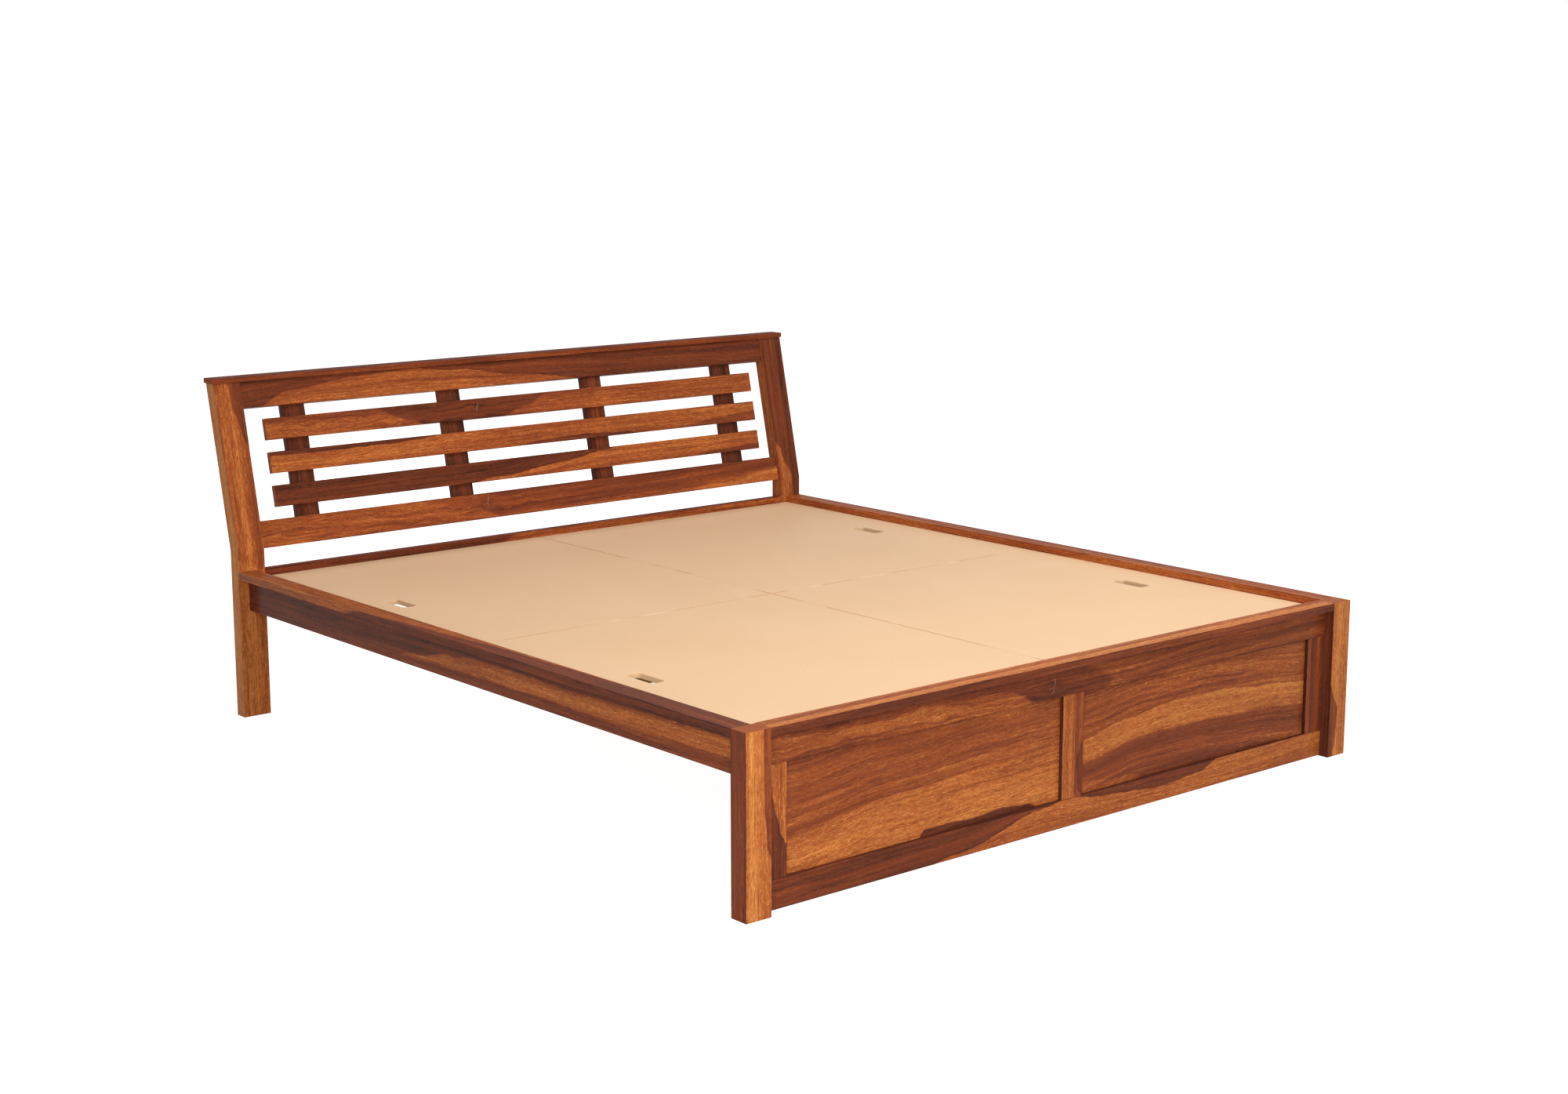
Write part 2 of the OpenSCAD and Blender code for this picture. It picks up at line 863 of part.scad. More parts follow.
module centre_leg(y) {
    color(pale_wood)
    difference() {
        union() {
            block([-beam_w / 2, y - leg_d / 2, 0], [cheek_face, y + leg_d / 2, beam_bottom]);
            block([beam_w / 2, y - leg_d / 2, 0], [cheek_face, y + leg_d / 2, beam_top - leg_top_gap]);
        }
        at_bolts() bolt_hole();
    }
}

module leg_bolts() {
    color(steel)
    at_bolts() {
        translate([0, 0, -beam_w / 2 - washer_t - 2 * nut_h])
            cylinder(h = beam_w + cheek_t + washer_t + 2 * nut_h, d = bolt_d);
        translate([0, 0, cheek_face])
            cylinder(h = bolt_head_h, d = nut_w, $fn = hexagon);
    }
}

module leg_nuts() {
    color(steel)
    at_bolts()
        translate([0, 0, -beam_w / 2 - washer_t - nut_h])
            difference() {
                cylinder(h = nut_h, d = nut_w, $fn = hexagon);
                translate([0, 0, -cut])
                    cylinder(h = nut_h + 2 * cut, d = bolt_d + bolt_fit);
            }
}

module leg_washers() {
    color(steel)
    at_bolts()
        translate([0, 0, -beam_w / 2 - washer_t])
            difference() {
                cylinder(h = washer_t, d = washer_d);
                translate([0, 0, -cut])
                    cylinder(h = washer_t + 2 * cut, d = bolt_d + 2 * bolt_fit);
            }
}

// The two flange screws of a hanger
module at_hanger_screws(y, inward) {
    for (side = [left, right])
        translate([side * (beam_w / 2 + hanger_fit + hanger_t + hanger_flange / 2),
                   y + inward * hanger_t, beam_top - hanger_screw_drop])
            rotate([-inward * 90, 0, 0])
                children();
}

// A bent steel shoe around the end of the beam, screwed to the rail behind it
module beam_hanger(y, inward) {
    inner = beam_w / 2 + hanger_fit;
    outer = inner + hanger_t;
    back = y + inward * hanger_t;
    front = back + inward * hanger_seat;
    low_z = beam_bottom - hanger_t;
    color(steel)
    difference() {
        union() {
            block([-outer - hanger_flange, min(y, back), low_z],
                  [outer + hanger_flange, max(y, back), beam_top]);
            for (side = [left, right])
                on_side(side)
                    block([inner, min(y, front), low_z], [outer, max(y, front), beam_top]);
            block([-outer, min(y, front), low_z], [outer, max(y, front), beam_bottom]);
        }
        at_hanger_screws(y, inward) plate_hole();
    }
}

module beam_hanger_foot() {
    beam_hanger(frame_back, 1);
}

module beam_hanger_head() {
    beam_hanger(head_y, -1);
}

module hanger_screws() {
    color(steel) {
        at_hanger_screws(frame_back, 1) plate_screw();
        at_hanger_screws(head_y, -1) plate_screw();
    }
}

// Corner brackets

// The screws into the foot or head piece; inward is 1 at the foot and -1 at the head
module at_bracket_post_screws(y, inward) {
    for (from_corner = [bracket_screw_near, bracket_screw_far])
        translate([rail_in - from_corner, y + inward * bracket_t, bracket_mid])
            rotate([-inward * 90, 0, 0])
                children();
}

module at_bracket_rail_screws(y, inward) {
    for (from_corner = [bracket_screw_near, bracket_screw_far])
        translate([rail_in - bracket_t, y + inward * from_corner, bracket_mid])
            rotate([0, -90, 0])
                children();
}

module corner_bracket(side, y, inward) {
    leg_end = y + inward * bracket_l;
    leg_face = y + inward * bracket_t;
    color(steel)
    on_side(side)
    difference() {
        union() {
            block([rail_in - bracket_t, min(y, leg_end), bracket_top - bracket_h],
                  [rail_in, max(y, leg_end), bracket_top]);
            block([rail_in - bracket_l, min(y, leg_face), bracket_top - bracket_h],
                  [rail_in, max(y, leg_face), bracket_top]);
        }
        at_bracket_post_screws(y, inward) plate_hole();
        at_bracket_rail_screws(y, inward) plate_hole();
    }
}

module bracket_screws() {
    color(steel)
    for (side = [left, right])
        on_side(side)
            for (end = [[frame_back, 1], [head_y, -1]]) {
                at_bracket_post_screws(end[0], end[1]) plate_screw();
                at_bracket_rail_screws(end[0], end[1]) plate_screw();
            }
}

foot_post(left);  // foot_post_left
foot_post(right);  // foot_post_right
head_post(left);  // head_post_left
head_post(right);  // head_post_right
headboard_cap();
headboard_top_rail();
headboard_lower_rail();
headboard_batten(1);  // headboard_batten_1
headboard_batten(2);  // headboard_batten_2
headboard_batten(3);  // headboard_batten_3
headboard_batten(4);  // headboard_batten_4
headboard_slat(1);  // headboard_slat_lower
headboard_slat(2);  // headboard_slat_middle
headboard_slat(3);  // headboard_slat_upper
head_cross_rail();
foot_cap();
foot_top_rail();
foot_bottom_rail();
foot_stile(left);  // foot_stile_left
foot_stile(right);  // foot_stile_right
foot_muntin();
foot_panel(left);  // foot_panel_left
foot_panel(right);  // foot_panel_right
side_rail(left);  // side_rail_left
side_rail(right);  // side_rail_right
side_cap(left);  // side_cap_left
side_cap(right);  // side_cap_right
deck_board(left, "foot");  // deck_board_foot_left
deck_board(right, "foot");  // deck_board_foot_right
deck_board(left, "head");  // deck_board_head_left
deck_board(right, "head");  // deck_board_head_right
side_ledger(left);  // side_ledger_left
side_ledger(right);  // side_ledger_right
end_ledger_foot();
end_ledger_head();
cross_support(1);  // cross_support_1
cross_support(2);  // cross_support_2
cross_support(3);  // cross_support_3
cross_support(4);  // cross_support_4
cross_support(5);  // cross_support_5
centre_beam();
centre_leg(leg_y[0]);  // centre_leg_foot
centre_leg(leg_y[1]);  // centre_leg_head
beam_hanger_foot();
beam_hanger_head();
corner_bracket(left, frame_back, 1);  // bracket_foot_left
corner_bracket(right, frame_back, 1);  // bracket_foot_right
corner_bracket(left, head_y, -1);  // bracket_head_left
corner_bracket(right, head_y, -1);  // bracket_head_right
rail_dowels();
cap_dowels();
slat_screws();
ledger_screws();
support_screws();
bracket_screws();
hanger_screws();
leg_bolts();
leg_nuts();
leg_washers();
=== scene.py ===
"""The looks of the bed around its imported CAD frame: materials, eased edges, floor, lights and camera."""

import json
import math
from collections import namedtuple

import bpy
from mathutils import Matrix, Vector


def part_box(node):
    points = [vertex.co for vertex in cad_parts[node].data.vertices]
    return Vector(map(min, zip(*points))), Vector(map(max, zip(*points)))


# Where the camera stood for the photograph, in the frame of the bed
CAMERA_PLACE = (-3.7873, -4.5586, 1.6046)
CAMERA_PITCH = 79.267
CAMERA_YAW = -40.287
CAMERA_LENS = 54.21
SENSOR_WIDTH = 36

# The leaning headboard: its angle, and where its front face starts to lean
RAKE = math.radians(12.6)
KINK_HEIGHT = 0.446

# Up the leaning headboard, and into its depth
LEANING = (
    Vector((0, math.sin(RAKE), math.cos(RAKE))),
    Vector((0, math.cos(RAKE), -math.sin(RAKE))),
)

# A timber: its tones from dark heartwood to pale sapwood, as sRGB bytes at their place on a ramp from 0 to
# 1, and the colours of its pale flecks and dark pores
Timber = namedtuple("Timber", "ramp fleck pore")
ROSEWOOD = Timber(
    ramp=(
        (0.00, (68, 34, 25)),
        (0.16, (100, 50, 34)),
        (0.34, (131, 64, 39)),
        (0.52, (165, 84, 43)),
        (0.70, (197, 109, 53)),
        (0.86, (216, 131, 63)),
        (1.00, (232, 154, 84)),
    ),
    fleck=(242, 172, 98),
    pore=(104, 38, 18),
)
PINE = Timber(
    ramp=(
        (0.00, (152, 100, 56)),
        (0.40, (200, 148, 94)),
        (0.75, (222, 178, 124)),
        (1.00, (234, 198, 146)),
    ),
    fleck=(242, 210, 162),
    pore=(120, 80, 46),
)
BEECH = Timber(
    ramp=(
        (0.00, (168, 124, 82)),
        (0.50, (204, 164, 118)),
        (1.00, (222, 186, 142)),
    ),
    fleck=PINE.fleck,
    pore=PINE.pore,
)

# The pale crack in a knot, and the tone of sawn ends
KNOT_CRACK = (214, 160, 130)
END_GRAIN_TONE = 0.50

# The deck boards: the tans of their faces at their places on a ramp, their fibres and pale chips, their cut
# edges, and the painted shade and painted highlights beside their seams
DECK_TANS = (
    (0.3, (245, 204, 161)),
    (0.7, (248, 208, 166)),
)
DECK_FIBRE = (232, 186, 142)
DECK_CHIP = (252, 220, 182)
DECK_CUT_EDGE = (238, 196, 150)
DECK_SEAM_SHADE = (204, 140, 94)
DECK_SEAM_HIGHLIGHT = (255, 226, 190)

# Zinc-plated steel: the greys of its dull and bright patches at their places on a ramp, and its brushed
# lines
ZINC_GREYS = (
    (0.3, (176, 178, 182)),
    (0.7, (212, 213, 216)),
)
ZINC_BRUSHED = (140, 142, 148)

# A layer of noise: how fine it is along the grain, across it and into the depth, or along x, y and z on the
# deck and the steel, per metre, the shift of its seed, its detail and its roughness
Layer = namedtuple("Layer", "scales shift detail roughness")
WANDER_BROAD = Layer((1.3, 4.0, 4.0), 0.0, 2.0, 0.6)
WANDER_SMALL = Layer((8.0, 24.0, 24.0), 0.4, 2.0, 0.6)
FRAY = Layer((30.0, 380.0, 380.0), 0.8, 2.0, 0.6)
CURLS = Layer((11.0, 26.0, 26.0), 0.6, 1.0, 0.6)
BANDS = Layer((0.7, 24.0, 10.0), 1.7, 2.0, 0.6)
STREAKS = Layer((1.5, 66.0, 26.0), 1.1, 3.0, 0.6)
THREADS = Layer((5.0, 420.0, 240.0), 2.3, 3.0, 0.6)
LIVELY = Layer((2.0, 22.0, 12.0), 2.9, 1.0, 0.5)
VEINS = Layer((0.8, 36.0, 12.0), 3.9, 1.5, 0.6)
END_RINGS = Layer((20.0, 90.0, 420.0), 4.7, 2.0, 0.6)
FLECKS = Layer((90.0, 900.0, 860.0), 5.2, 1.0, 0.5)
RUBBED = Layer((7.0, 3.0, 3.0), 6.1, 2.0, 0.5)
PORES = Layer((40.0, 1000.0, 940.0), 6.6, 2.0, 0.5)
MOTTLE = Layer((5.0, 16.0, 16.0), 8.1, 2.0, 0.5)
CRACK_BREAKS = Layer((180.0, 180.0, 180.0), 9.0, 2.0, 0.5)
DECK_CLOUDS = Layer((3.0, 3.0, 3.0), 1, 3.0, 0.5)
DECK_FIBRES = Layer((160.0, 420.0, 420.0), 2, 2.0, 0.6)
DECK_CHIPS = Layer((46.0, 60.0, 60.0), 3, 2.0, 0.5)
DECK_PATCHES = Layer((9.0, 9.0, 9.0), 6, 1.0, 0.5)
ZINC_PATCHES = Layer((60.0, 60.0, 60.0), 4, 3.0, 0.5)
ZINC_LINES = Layer((2400.0, 300.0, 300.0), 5, 2.0, 0.5)

# How far one seed moves a layer of noise, and how far each next axis is moved
SEED_STRIDE = 7.31
AXIS_STRIDE = 3.7

# How far the grain wanders and frays, in metres, how far it slants through the depth of a board, and the
# share of its length over which a curl dies away
WANDER_BROAD_REACH = 0.020
WANDER_SMALL_REACH = 0.007
FRAY_REACH = 0.009
GRAIN_SLANT = 0.55
SWIRL_FADE = 0.2

# The dark rim of a wedge: how far it reaches into the wedge, in widths of the board, and how much darker
# it is
RIM_REACH = 0.10
RIM_DEPTH = 0.08

# How strongly each part of the grain changes the tone
BAND_STRENGTH = 0.42
STREAK_STRENGTH = 0.64
THREAD_STRENGTH = 0.56
END_RING_STRENGTH = 0.3

# Growth rings: how close they are, and how far the streaks push them out of step
RINGS_PER_METRE = 240
RING_SHIFT = 26.0

# A figure that rises nowhere, and how high or low the curves of a figure may run, in widths of the board
LEVEL = ((0.0, 0.0), (1.0, 0.0))
CURVE_REACH = 2.0

# How much darker a long edge is painted, as painted shade along it, and how much paler it is where it is
# rubbed
ARRIS_PAINTED_SHADE = -0.22
ARRIS_RUBBED = 0.04

# Smooth steps: a low and a high value, and what each of them gives where that isn't 0 and 1
LIVELY_STEP = (0.3, 0.7, 0.5, 1.4)
RING_STEP = (0.2, 0.7, 0.02, 0.07)
VEIN_STEP = (0.0, 0.014, -0.13, 0.0)
# The step of the long edges: painted shade along them, broken by paler rubbed spots
ARRIS_SHADE_AND_RUBBED_STEP = (0.35, 0.65, ARRIS_PAINTED_SHADE, ARRIS_RUBBED)
ARRIS_STEP = (0.0008, 0.0034, 1.0, 0.0)
SIDE_STEP = (0.4, 0.8)
END_STEP = (0.5, 0.8)
FLECK_STEP = (0.50, 0.62)
FLECK_TONE_STEP = (0.34, 0.80, 0.04, 0.42)
PORE_STEP = (0.50, 0.62)
PORE_TONE_STEP = (0.1, 0.7, 0.25, 0.50)
FIBRE_STEP = (0.40, 0.75, 0.0, 0.2)
CHIP_STEP = (0.60, 0.80, 0.0, 0.18)
DECK_FACE_STEP = (0.3, 0.8)
BRUSHED_STEP = (0.4, 0.8, 0.0, 0.3)

# A slow mottle that darkens the wood by up to an eighth, as grey values on a ramp
MOTTLE_RAMP = ((0.3, 0.88), (0.7, 1.0))

# Knots: how far the bulge, the shade and the cracked heart reach, as shares of the knot's reach along and
# across, how strongly the grain bulges and how much darker the knot is
KNOT_BULGE = (1.0, 0.5)
KNOT_SHADE = (0.7, 0.45)
KNOT_HEART = (0.38, 0.42)
BULGE_STRENGTH = 0.75
SHADE_DEPTH = -0.12

# The crack in a knot: the slope of its upper arm and of its two lower arms, how much it bends, per metre,
# how far its line is broken up and shifted, in metres, and the smooth steps of its line, its middle and
# its fading ends
CRACK_ARM_ABOVE = -0.7
CRACK_ARMS_BELOW = (-1.5, 0.15)
CRACK_BEND = 30.0
CRACK_JITTER = 0.006
CRACK_SHIFT = 0.003
CRACK_LINE_STEP = (0.0002, 0.0010, 0.65, 0.0)
CRACK_MIDDLE_STEP = (-0.002, 0.002, 1.0, 0.0)
CRACK_END_STEP = (0.0, 0.4)

# How strongly the lacquer mirrors, and its roughness on upright faces and on the duller tops
SHEEN = 0.05
LACQUER_UPRIGHT = 0.16
LACQUER_TOP = 0.40

# Roughness and mirroring of raw wood, and how much the mottle and the pores add to the roughness of any
# wood
RAW_WOOD = 0.6
RAW_SHEEN = 0.2
MOTTLE_ROUGHNESS = 0.12
PORE_ROUGHNESS = 0.25

# Roughness of the deck and of the zinc, with how much their fibres and patches add, and the deck's
# mirroring
DECK_ROUGHNESS = 0.5
FIBRE_ROUGHNESS = 0.2
DECK_SHEEN = 0.15
ZINC_ROUGHNESS = 0.28
PATCH_ROUGHNESS = 0.25

# How strongly lacquer, wood and deck boards bend light
REFRACTION = 1.45

# Fine relief: its depth in metres, and its strength on lacquered and raw wood, on the deck and on steel
RELIEF_DEPTH = 0.0006
LACQUER_RELIEF = 0.12
RAW_RELIEF = 0.2
DECK_RELIEF = 0.06
ZINC_RELIEF = 0.08

# The seams of the deck: their gap, how dark the painted shade lines beside them are, how pale the painted
# highlights are along each seam, how far both reach from the seam, in metres, and where patches of noise
# bring them out
DECK_SEAM_GAP = 0.001
DECK_SEAM_SHADE_STRENGTH = 0.8
SEAM_HIGHLIGHT_LENGTHWISE = 0.1
SEAM_HIGHLIGHT_CROSSWISE = 0.85
SEAM_SHADE_REACH = (0.0012, 0.0038)
SEAM_HIGHLIGHT_REACH = (0.0030, 0.0052)
SEAM_SHADE_SPOTS_STEP = (0.4, 0.6, 0.1, 1.0)
SEAM_HIGHLIGHT_SPOTS_STEP = (0.36, 0.44, 1.0, 0.0)

# How far the sides of a deck board, and of its finger slot, take the colour of its cut edges
CUT_EDGE_SHARE = 0.75

# Eased edges: their widths and the number of faces round them, the sharpest angle that stays as it is, and
# how close doubled points lie, in metres
ROSEWOOD_EASE = 0.0012
DECK_EASE = 0.0006
STEEL_EASE = 0.0005
SUPPORT_EASE = 0.001
EASE_FACES = 2
EASED_ANGLE = math.radians(40)
WELD_REACH = 0.00001

# The floor: how much it glows where it is seen, over the light that falls on it, its grey and its size in
# metres
FLOOR_GLOW = 0.93
FLOOR_GREY = (0.5, 0.5, 0.5, 1)
FLOOR_SIZE = 60

# The even surround: its level as light and where it is seen, and the white of it and of the floor's glow
SURROUND_LIGHT = 0.36
SURROUND_SEEN = 1.0
WHITE = (1, 1, 1, 1)

# The lamps: name, place, aim, size and power
LAMPS = (
    ("key", (0.5, -2.4, 3.8), (0.0, -1.0, 0.2), 2.5, 92),
    ("front", (-3.2, -3.8, 1.6), (0.0, -0.4, 0.3), 2.2, 116),
    ("back", (1.6, 5.2, 1.5), (0.0, 1.0, 0.4), 2.2, 75),
)

# A part of a board's figure below or above a curve: its tone, the softness of its edge, and the curve, in
# widths of the board at shares of its length
Wedge = namedtuple("Wedge", "side tone blur curve")

# A knot: its place along the board and across it, and its reach, in metres
Knot = namedtuple("Knot", "along across reach")

# Curls in the grain: how far they reach, in metres, and the share of the length where they end
Swirl = namedtuple("Swirl", "reach end")

# The figure of each board. zones: tone across the board, from its low to its high edge. rise: how far the
# zones are lifted along the board, in widths. wedges: further parts, laid over the zones. edges: the tones
# of the two narrow sides, at the low and the high edge, where None leaves a side as it is; these are partly
# the wood's own tone and partly painted shade on sides that face away from the light or into recesses, with
# painted light on the sides set paler. knots: where the grain bulges. swirl: where it curls. wave: how much
# it wanders. sheen: how strongly the lacquer mirrors, where that differs. seed: the start of the noise.
FIGURES = {
    "foot_post_left": {
        "zones": ((0.0, 0.7), (0.5, 0.78), (1.0, 0.68)),
        "wedges": (
            Wedge("above", 0.4, 0.02, ((0.0, 1.3), (0.25, 1.1), (0.4, 0.82), (0.6, 0.74), (1.0, 0.7))),
        ),
        "edges": (0.26, 0.4),
        "wave": 0.5,
        "seed": 1,
    },
    "foot_post_right": {
        "zones": ((0.0, 0.69), (0.4, 0.79), (1.0, 0.75)),
        "wedges": (
            Wedge("below", 0.34, 0.03, (
                (0.0, 0.3), (0.15, 0.42), (0.3, 0.5), (0.45, 0.1), (0.5, -0.1), (1.0, -0.3),
            )),
        ),
        "edges": (0.16, 0.6),
        "wave": 0.5,
        "seed": 2,
    },
    "head_post_left": {
        "zones": ((0.0, 0.47), (0.5, 0.55), (1.0, 0.48)),
        "wedges": (
            Wedge("above", 0.32, 0.03, ((0.0, 1.3), (0.78, 1.1), (0.86, 0.8), (0.93, 0.6), (1.0, 0.55))),
            Wedge("below", 0.66, 0.3, ((0.0, 1.8), (0.4, 1.5), (0.52, -0.6), (1.0, -0.8))),
        ),
        "edges": (0.84, 0.4),
        "seed": 3,
    },
    "head_post_right": {
        "zones": ((0.0, 0.24), (0.5, 0.28), (1.0, 0.24)),
        "wedges": (
            Wedge("below", 0.56, 0.03, (
                (0.0, 0.8), (0.42, 0.75), (0.5, 0.62), (0.6, 0.25), (0.66, -0.1), (1.0, -0.3),
            )),
        ),
        "edges": (0.54, 0.2),
        "seed": 4,
    },
    "headboard_cap": {
        "zones": ((0.0, 0.2), (0.5, 0.14), (1.0, 0.2)),
        "rise": ((0.0, 0.0), (0.4, 0.2), (1.0, -0.1)),
        "edges": (0.35, 0.3),
        "sheen": 0.01,
        "seed": 5,
    },
    "headboard_top_rail": {
        "zones": ((0.0, 0.52), (0.35, 0.47), (1.0, 0.44)),
        "rise": ((0.0, -0.2), (0.15, 0.1), (0.32, 0.12), (0.5, -0.1), (0.7, -0.3), (1.0, -0.3)),
        "wedges": (
            Wedge("above", 0.24, 0.03, (
                (0.0, -0.3), (0.04, 0.0), (0.09, 0.5), (0.2, 0.85), (0.3, 1.0), (0.38, 0.8), (0.5, 0.38),
                (0.62, 0.0), (0.66, -0.3), (1.0, -0.3),
            )),
        ),
        "seed": 6,
    },
    "headboard_lower_rail": {
        "zones": ((0.0, 0.38), (0.5, 0.33), (1.0, 0.35)),
        "rise": ((0.0, 0.2), (0.32, 0.1), (0.45, -0.1), (0.72, 0.0), (1.0, 0.2)),
        "wedges": (
            Wedge("below", 0.47, 0.04, (
                (0.0, 1.3), (0.26, 1.15), (0.36, 0.6), (0.44, 0.14), (0.6, 0.16), (0.72, 0.08),
                (0.78, 0.2), (0.88, 0.45), (1.0, 0.62),
            )),
            Wedge("below", 0.66, 0.06, (
                (0.0, -0.5), (0.66, -0.4), (0.76, 0.0), (0.86, 0.26), (1.0, 0.56),
            )),
        ),
        "knots": (Knot(0.74, 0.045, 0.05),),
        "swirl": Swirl(0.03, 0.6),
        "seed": 7,
    },
    "headboard_slat_lower": {
        "zones": ((0.0, 0.52), (0.5, 0.58), (1.0, 0.52)),
        "rise": ((0.0, -0.4), (0.38, -0.3), (0.7, 0.3), (1.0, 0.3)),
        "wedges": (
            Wedge("above", 0.2, 0.03, (
                (0.0, -0.5), (0.35, -0.1), (0.42, 0.15), (0.55, 0.5), (0.66, 0.95), (0.7, 1.3),
                (1.0, 1.3),
            )),
            Wedge("below", 0.32, 0.04, ((0.0, -0.3), (0.8, -0.1), (0.9, 0.2), (1.0, 0.3))),
        ),
        "seed": 8,
    },
    "headboard_slat_middle": {
        "zones": ((0.0, 0.52), (0.5, 0.6), (1.0, 0.56)),
        "wedges": (
            Wedge("above", 0.26, 0.03, ((0.0, 0.8), (0.2, 0.85), (0.4, 1.05), (1.0, 1.3))),
            Wedge("below", 0.28, 0.03, (
                (0.0, -0.3), (0.45, -0.1), (0.52, 0.15), (0.62, 0.25), (0.7, 0.1), (0.75, -0.2),
                (1.0, -0.3),
            )),
            Wedge("below", 0.38, 0.08, (
                (0.0, -0.5), (0.78, -0.4), (0.83, 0.1), (0.92, 0.36), (1.0, 0.5),
            )),
        ),
        "seed": 9,
    },
    "headboard_slat_upper": {
        "zones": ((0.0, 0.54), (0.5, 0.48), (1.0, 0.44)),
        "wedges": (
            Wedge("above", 0.26, 0.1, (
                (0.0, 1.3), (0.2, 1.0), (0.26, 0.3), (0.32, -0.2), (0.42, -0.2), (0.5, 0.5), (0.56, 1.2),
                (1.0, 1.3),
            )),
        ),
        "knots": (Knot(0.66, 0.032, 0.045),),
        "swirl": Swirl(0.03, 0.6),
        "seed": 10,
    },
    # The battens' dark tones are partly their own and partly painted shade, for the shade behind the slats
    "headboard_batten_1": {"zones": ((0.0, 0.12), (0.5, 0.2), (1.0, 0.1)), "seed": 11},
    "headboard_batten_2": {"zones": ((0.0, 0.14), (0.4, 0.22), (1.0, 0.1)), "seed": 12},
    "headboard_batten_3": {"zones": ((0.0, 0.1), (0.6, 0.2), (1.0, 0.12)), "seed": 13},
    "headboard_batten_4": {"zones": ((0.0, 0.14), (0.5, 0.18), (1.0, 0.08)), "seed": 14},
    "head_cross_rail": {
        "zones": ((0.0, 0.12), (0.5, 0.18), (1.0, 0.24)),
        "wedges": (
            Wedge("below", 0.5, 0.1, ((0.0, -0.5), (0.2, -0.3), (0.36, 0.4), (0.48, 1.2), (1.0, 1.3))),
        ),
        "edges": (None, 0.3),
        "sheen": 0.01,
        "seed": 15,
    },
    "foot_cap": {
        "zones": ((0.0, 0.7), (0.4, 0.78), (1.0, 0.7)),
        "wedges": (
            Wedge("above", 0.54, 0.03, ((0.0, 0.7), (0.3, 0.78), (0.6, 0.7), (0.8, 0.9), (1.0, 0.8))),
        ),
        "edges": (0.3, 0.4),
        "seed": 16,
    },
    "foot_top_rail": {
        "zones": ((0.0, 0.52), (0.45, 0.58), (0.66, 0.44), (0.8, 0.22), (1.0, 0.18)),
        "rise": ((0.0, 0.0), (0.2, 0.1), (0.4, -0.1), (0.6, -0.1), (0.75, 0.1), (1.0, 0.1)),
        "wedges": (
            Wedge("above", 0.24, 0.12, (
                (0.0, 1.3), (0.3, 1.2), (0.39, 0.6), (0.45, -0.2), (0.53, -0.2), (0.6, 0.5), (0.68, 1.2),
                (1.0, 1.3),
            )),
            Wedge("above", 0.42, 0.3, ((0.0, 1.9), (0.46, 1.5), (0.66, -0.7), (1.0, -0.9))),
        ),
        "knots": (Knot(0.852, 0.028, 0.06),),
        "wave": 1.4,
        "swirl": Swirl(0.032, 0.55),
        "seed": 17,
    },
    "foot_bottom_rail": {
        "zones": ((0.0, 0.64), (0.5, 0.66), (1.0, 0.7)),
        "rise": ((0.0, -0.4), (0.26, -0.2), (0.45, 0.2), (0.6, 0.1), (0.8, 0.0), (1.0, 0.1)),
        "wedges": (
            Wedge("above", 0.26, 0.02, (
                (0.0, -0.5), (0.25, -0.1), (0.3, 0.1), (0.46, 0.9), (0.5, 1.2), (1.0, 1.2),
            )),
            Wedge("above", 0.24, 0.02, (
                (0.0, 1.3), (0.48, 1.1), (0.56, 0.78), (0.66, 0.55), (0.74, 0.7), (0.78, 1.1),
                (1.0, 1.3),
            )),
        ),
        "edges": (0.4, 0.0),
        "seed": 18,
    },
    "foot_stile_left": {
        "zones": ((0.0, 0.64), (1.0, 0.68)),
        "wedges": (
            Wedge("below", 0.26, 0.02, (
                (0.0, 1.2), (0.25, 1.0), (0.45, 0.62), (0.65, 0.4), (0.85, 0.12), (1.0, -0.1),
            )),
        ),
        "seed": 19,
    },
    "foot_stile_right": {
        "zones": ((0.0, 0.54), (0.2, 0.46), (0.26, 0.28), (0.7, 0.36), (1.0, 0.26)),
        "edges": (0.04, 0.4),
        "seed": 20,
    },
    "foot_muntin": {
        "zones": ((0.0, 0.6), (0.5, 0.54), (1.0, 0.56)),
        "wedges": (
            Wedge("above", 0.44, 0.03, ((0.0, 0.9), (0.1, 0.62), (0.5, 0.52), (1.0, 0.56))),
            Wedge("above", 0.24, 0.04, (
                (0.0, 1.1), (0.12, 0.76), (0.36, 0.68), (0.5, 0.9), (0.6, 1.3), (1.0, 1.3),
            )),
        ),
        "edges": (0.02, 0.4),
        "seed": 21,
    },
    "foot_panel_left": {
        "zones": (
            (0.0, 0.7), (0.2, 0.73), (0.32, 0.7), (0.42, 0.64), (0.47, 0.38), (0.6, 0.48), (0.72, 0.38),
            (0.82, 0.5), (1.0, 0.42),
        ),
        "rise": ((0.0, -0.12), (0.4, 0.0), (0.7, 0.06), (1.0, 0.08)),
        "wedges": (
            Wedge("below", 0.22, 0.01, (
                (0.0, -0.3), (0.44, -0.1), (0.49, 0.1), (0.58, 0.095), (0.68, 0.08), (0.78, 0.095),
                (0.86, 0.075), (0.93, 0.01), (1.0, -0.1),
            )),
        ),
        "seed": 22,
    },
    "foot_panel_right": {
        "zones": (
            (0.0, 0.34), (0.18, 0.44), (0.28, 0.3), (0.38, 0.38), (0.46, 0.62), (0.54, 0.74),
            (0.7, 0.72), (0.8, 0.56), (1.0, 0.5),
        ),
        "rise": ((0.0, -0.1), (0.3, 0.0), (0.5, 0.0), (0.75, -0.04), (1.0, -0.1)),
        "wedges": (
            Wedge("above", 0.5, 0.01, (
                (0.0, 0.52), (0.2, 0.62), (0.4, 0.68), (0.6, 0.67), (0.8, 0.62), (1.0, 0.56),
            )),
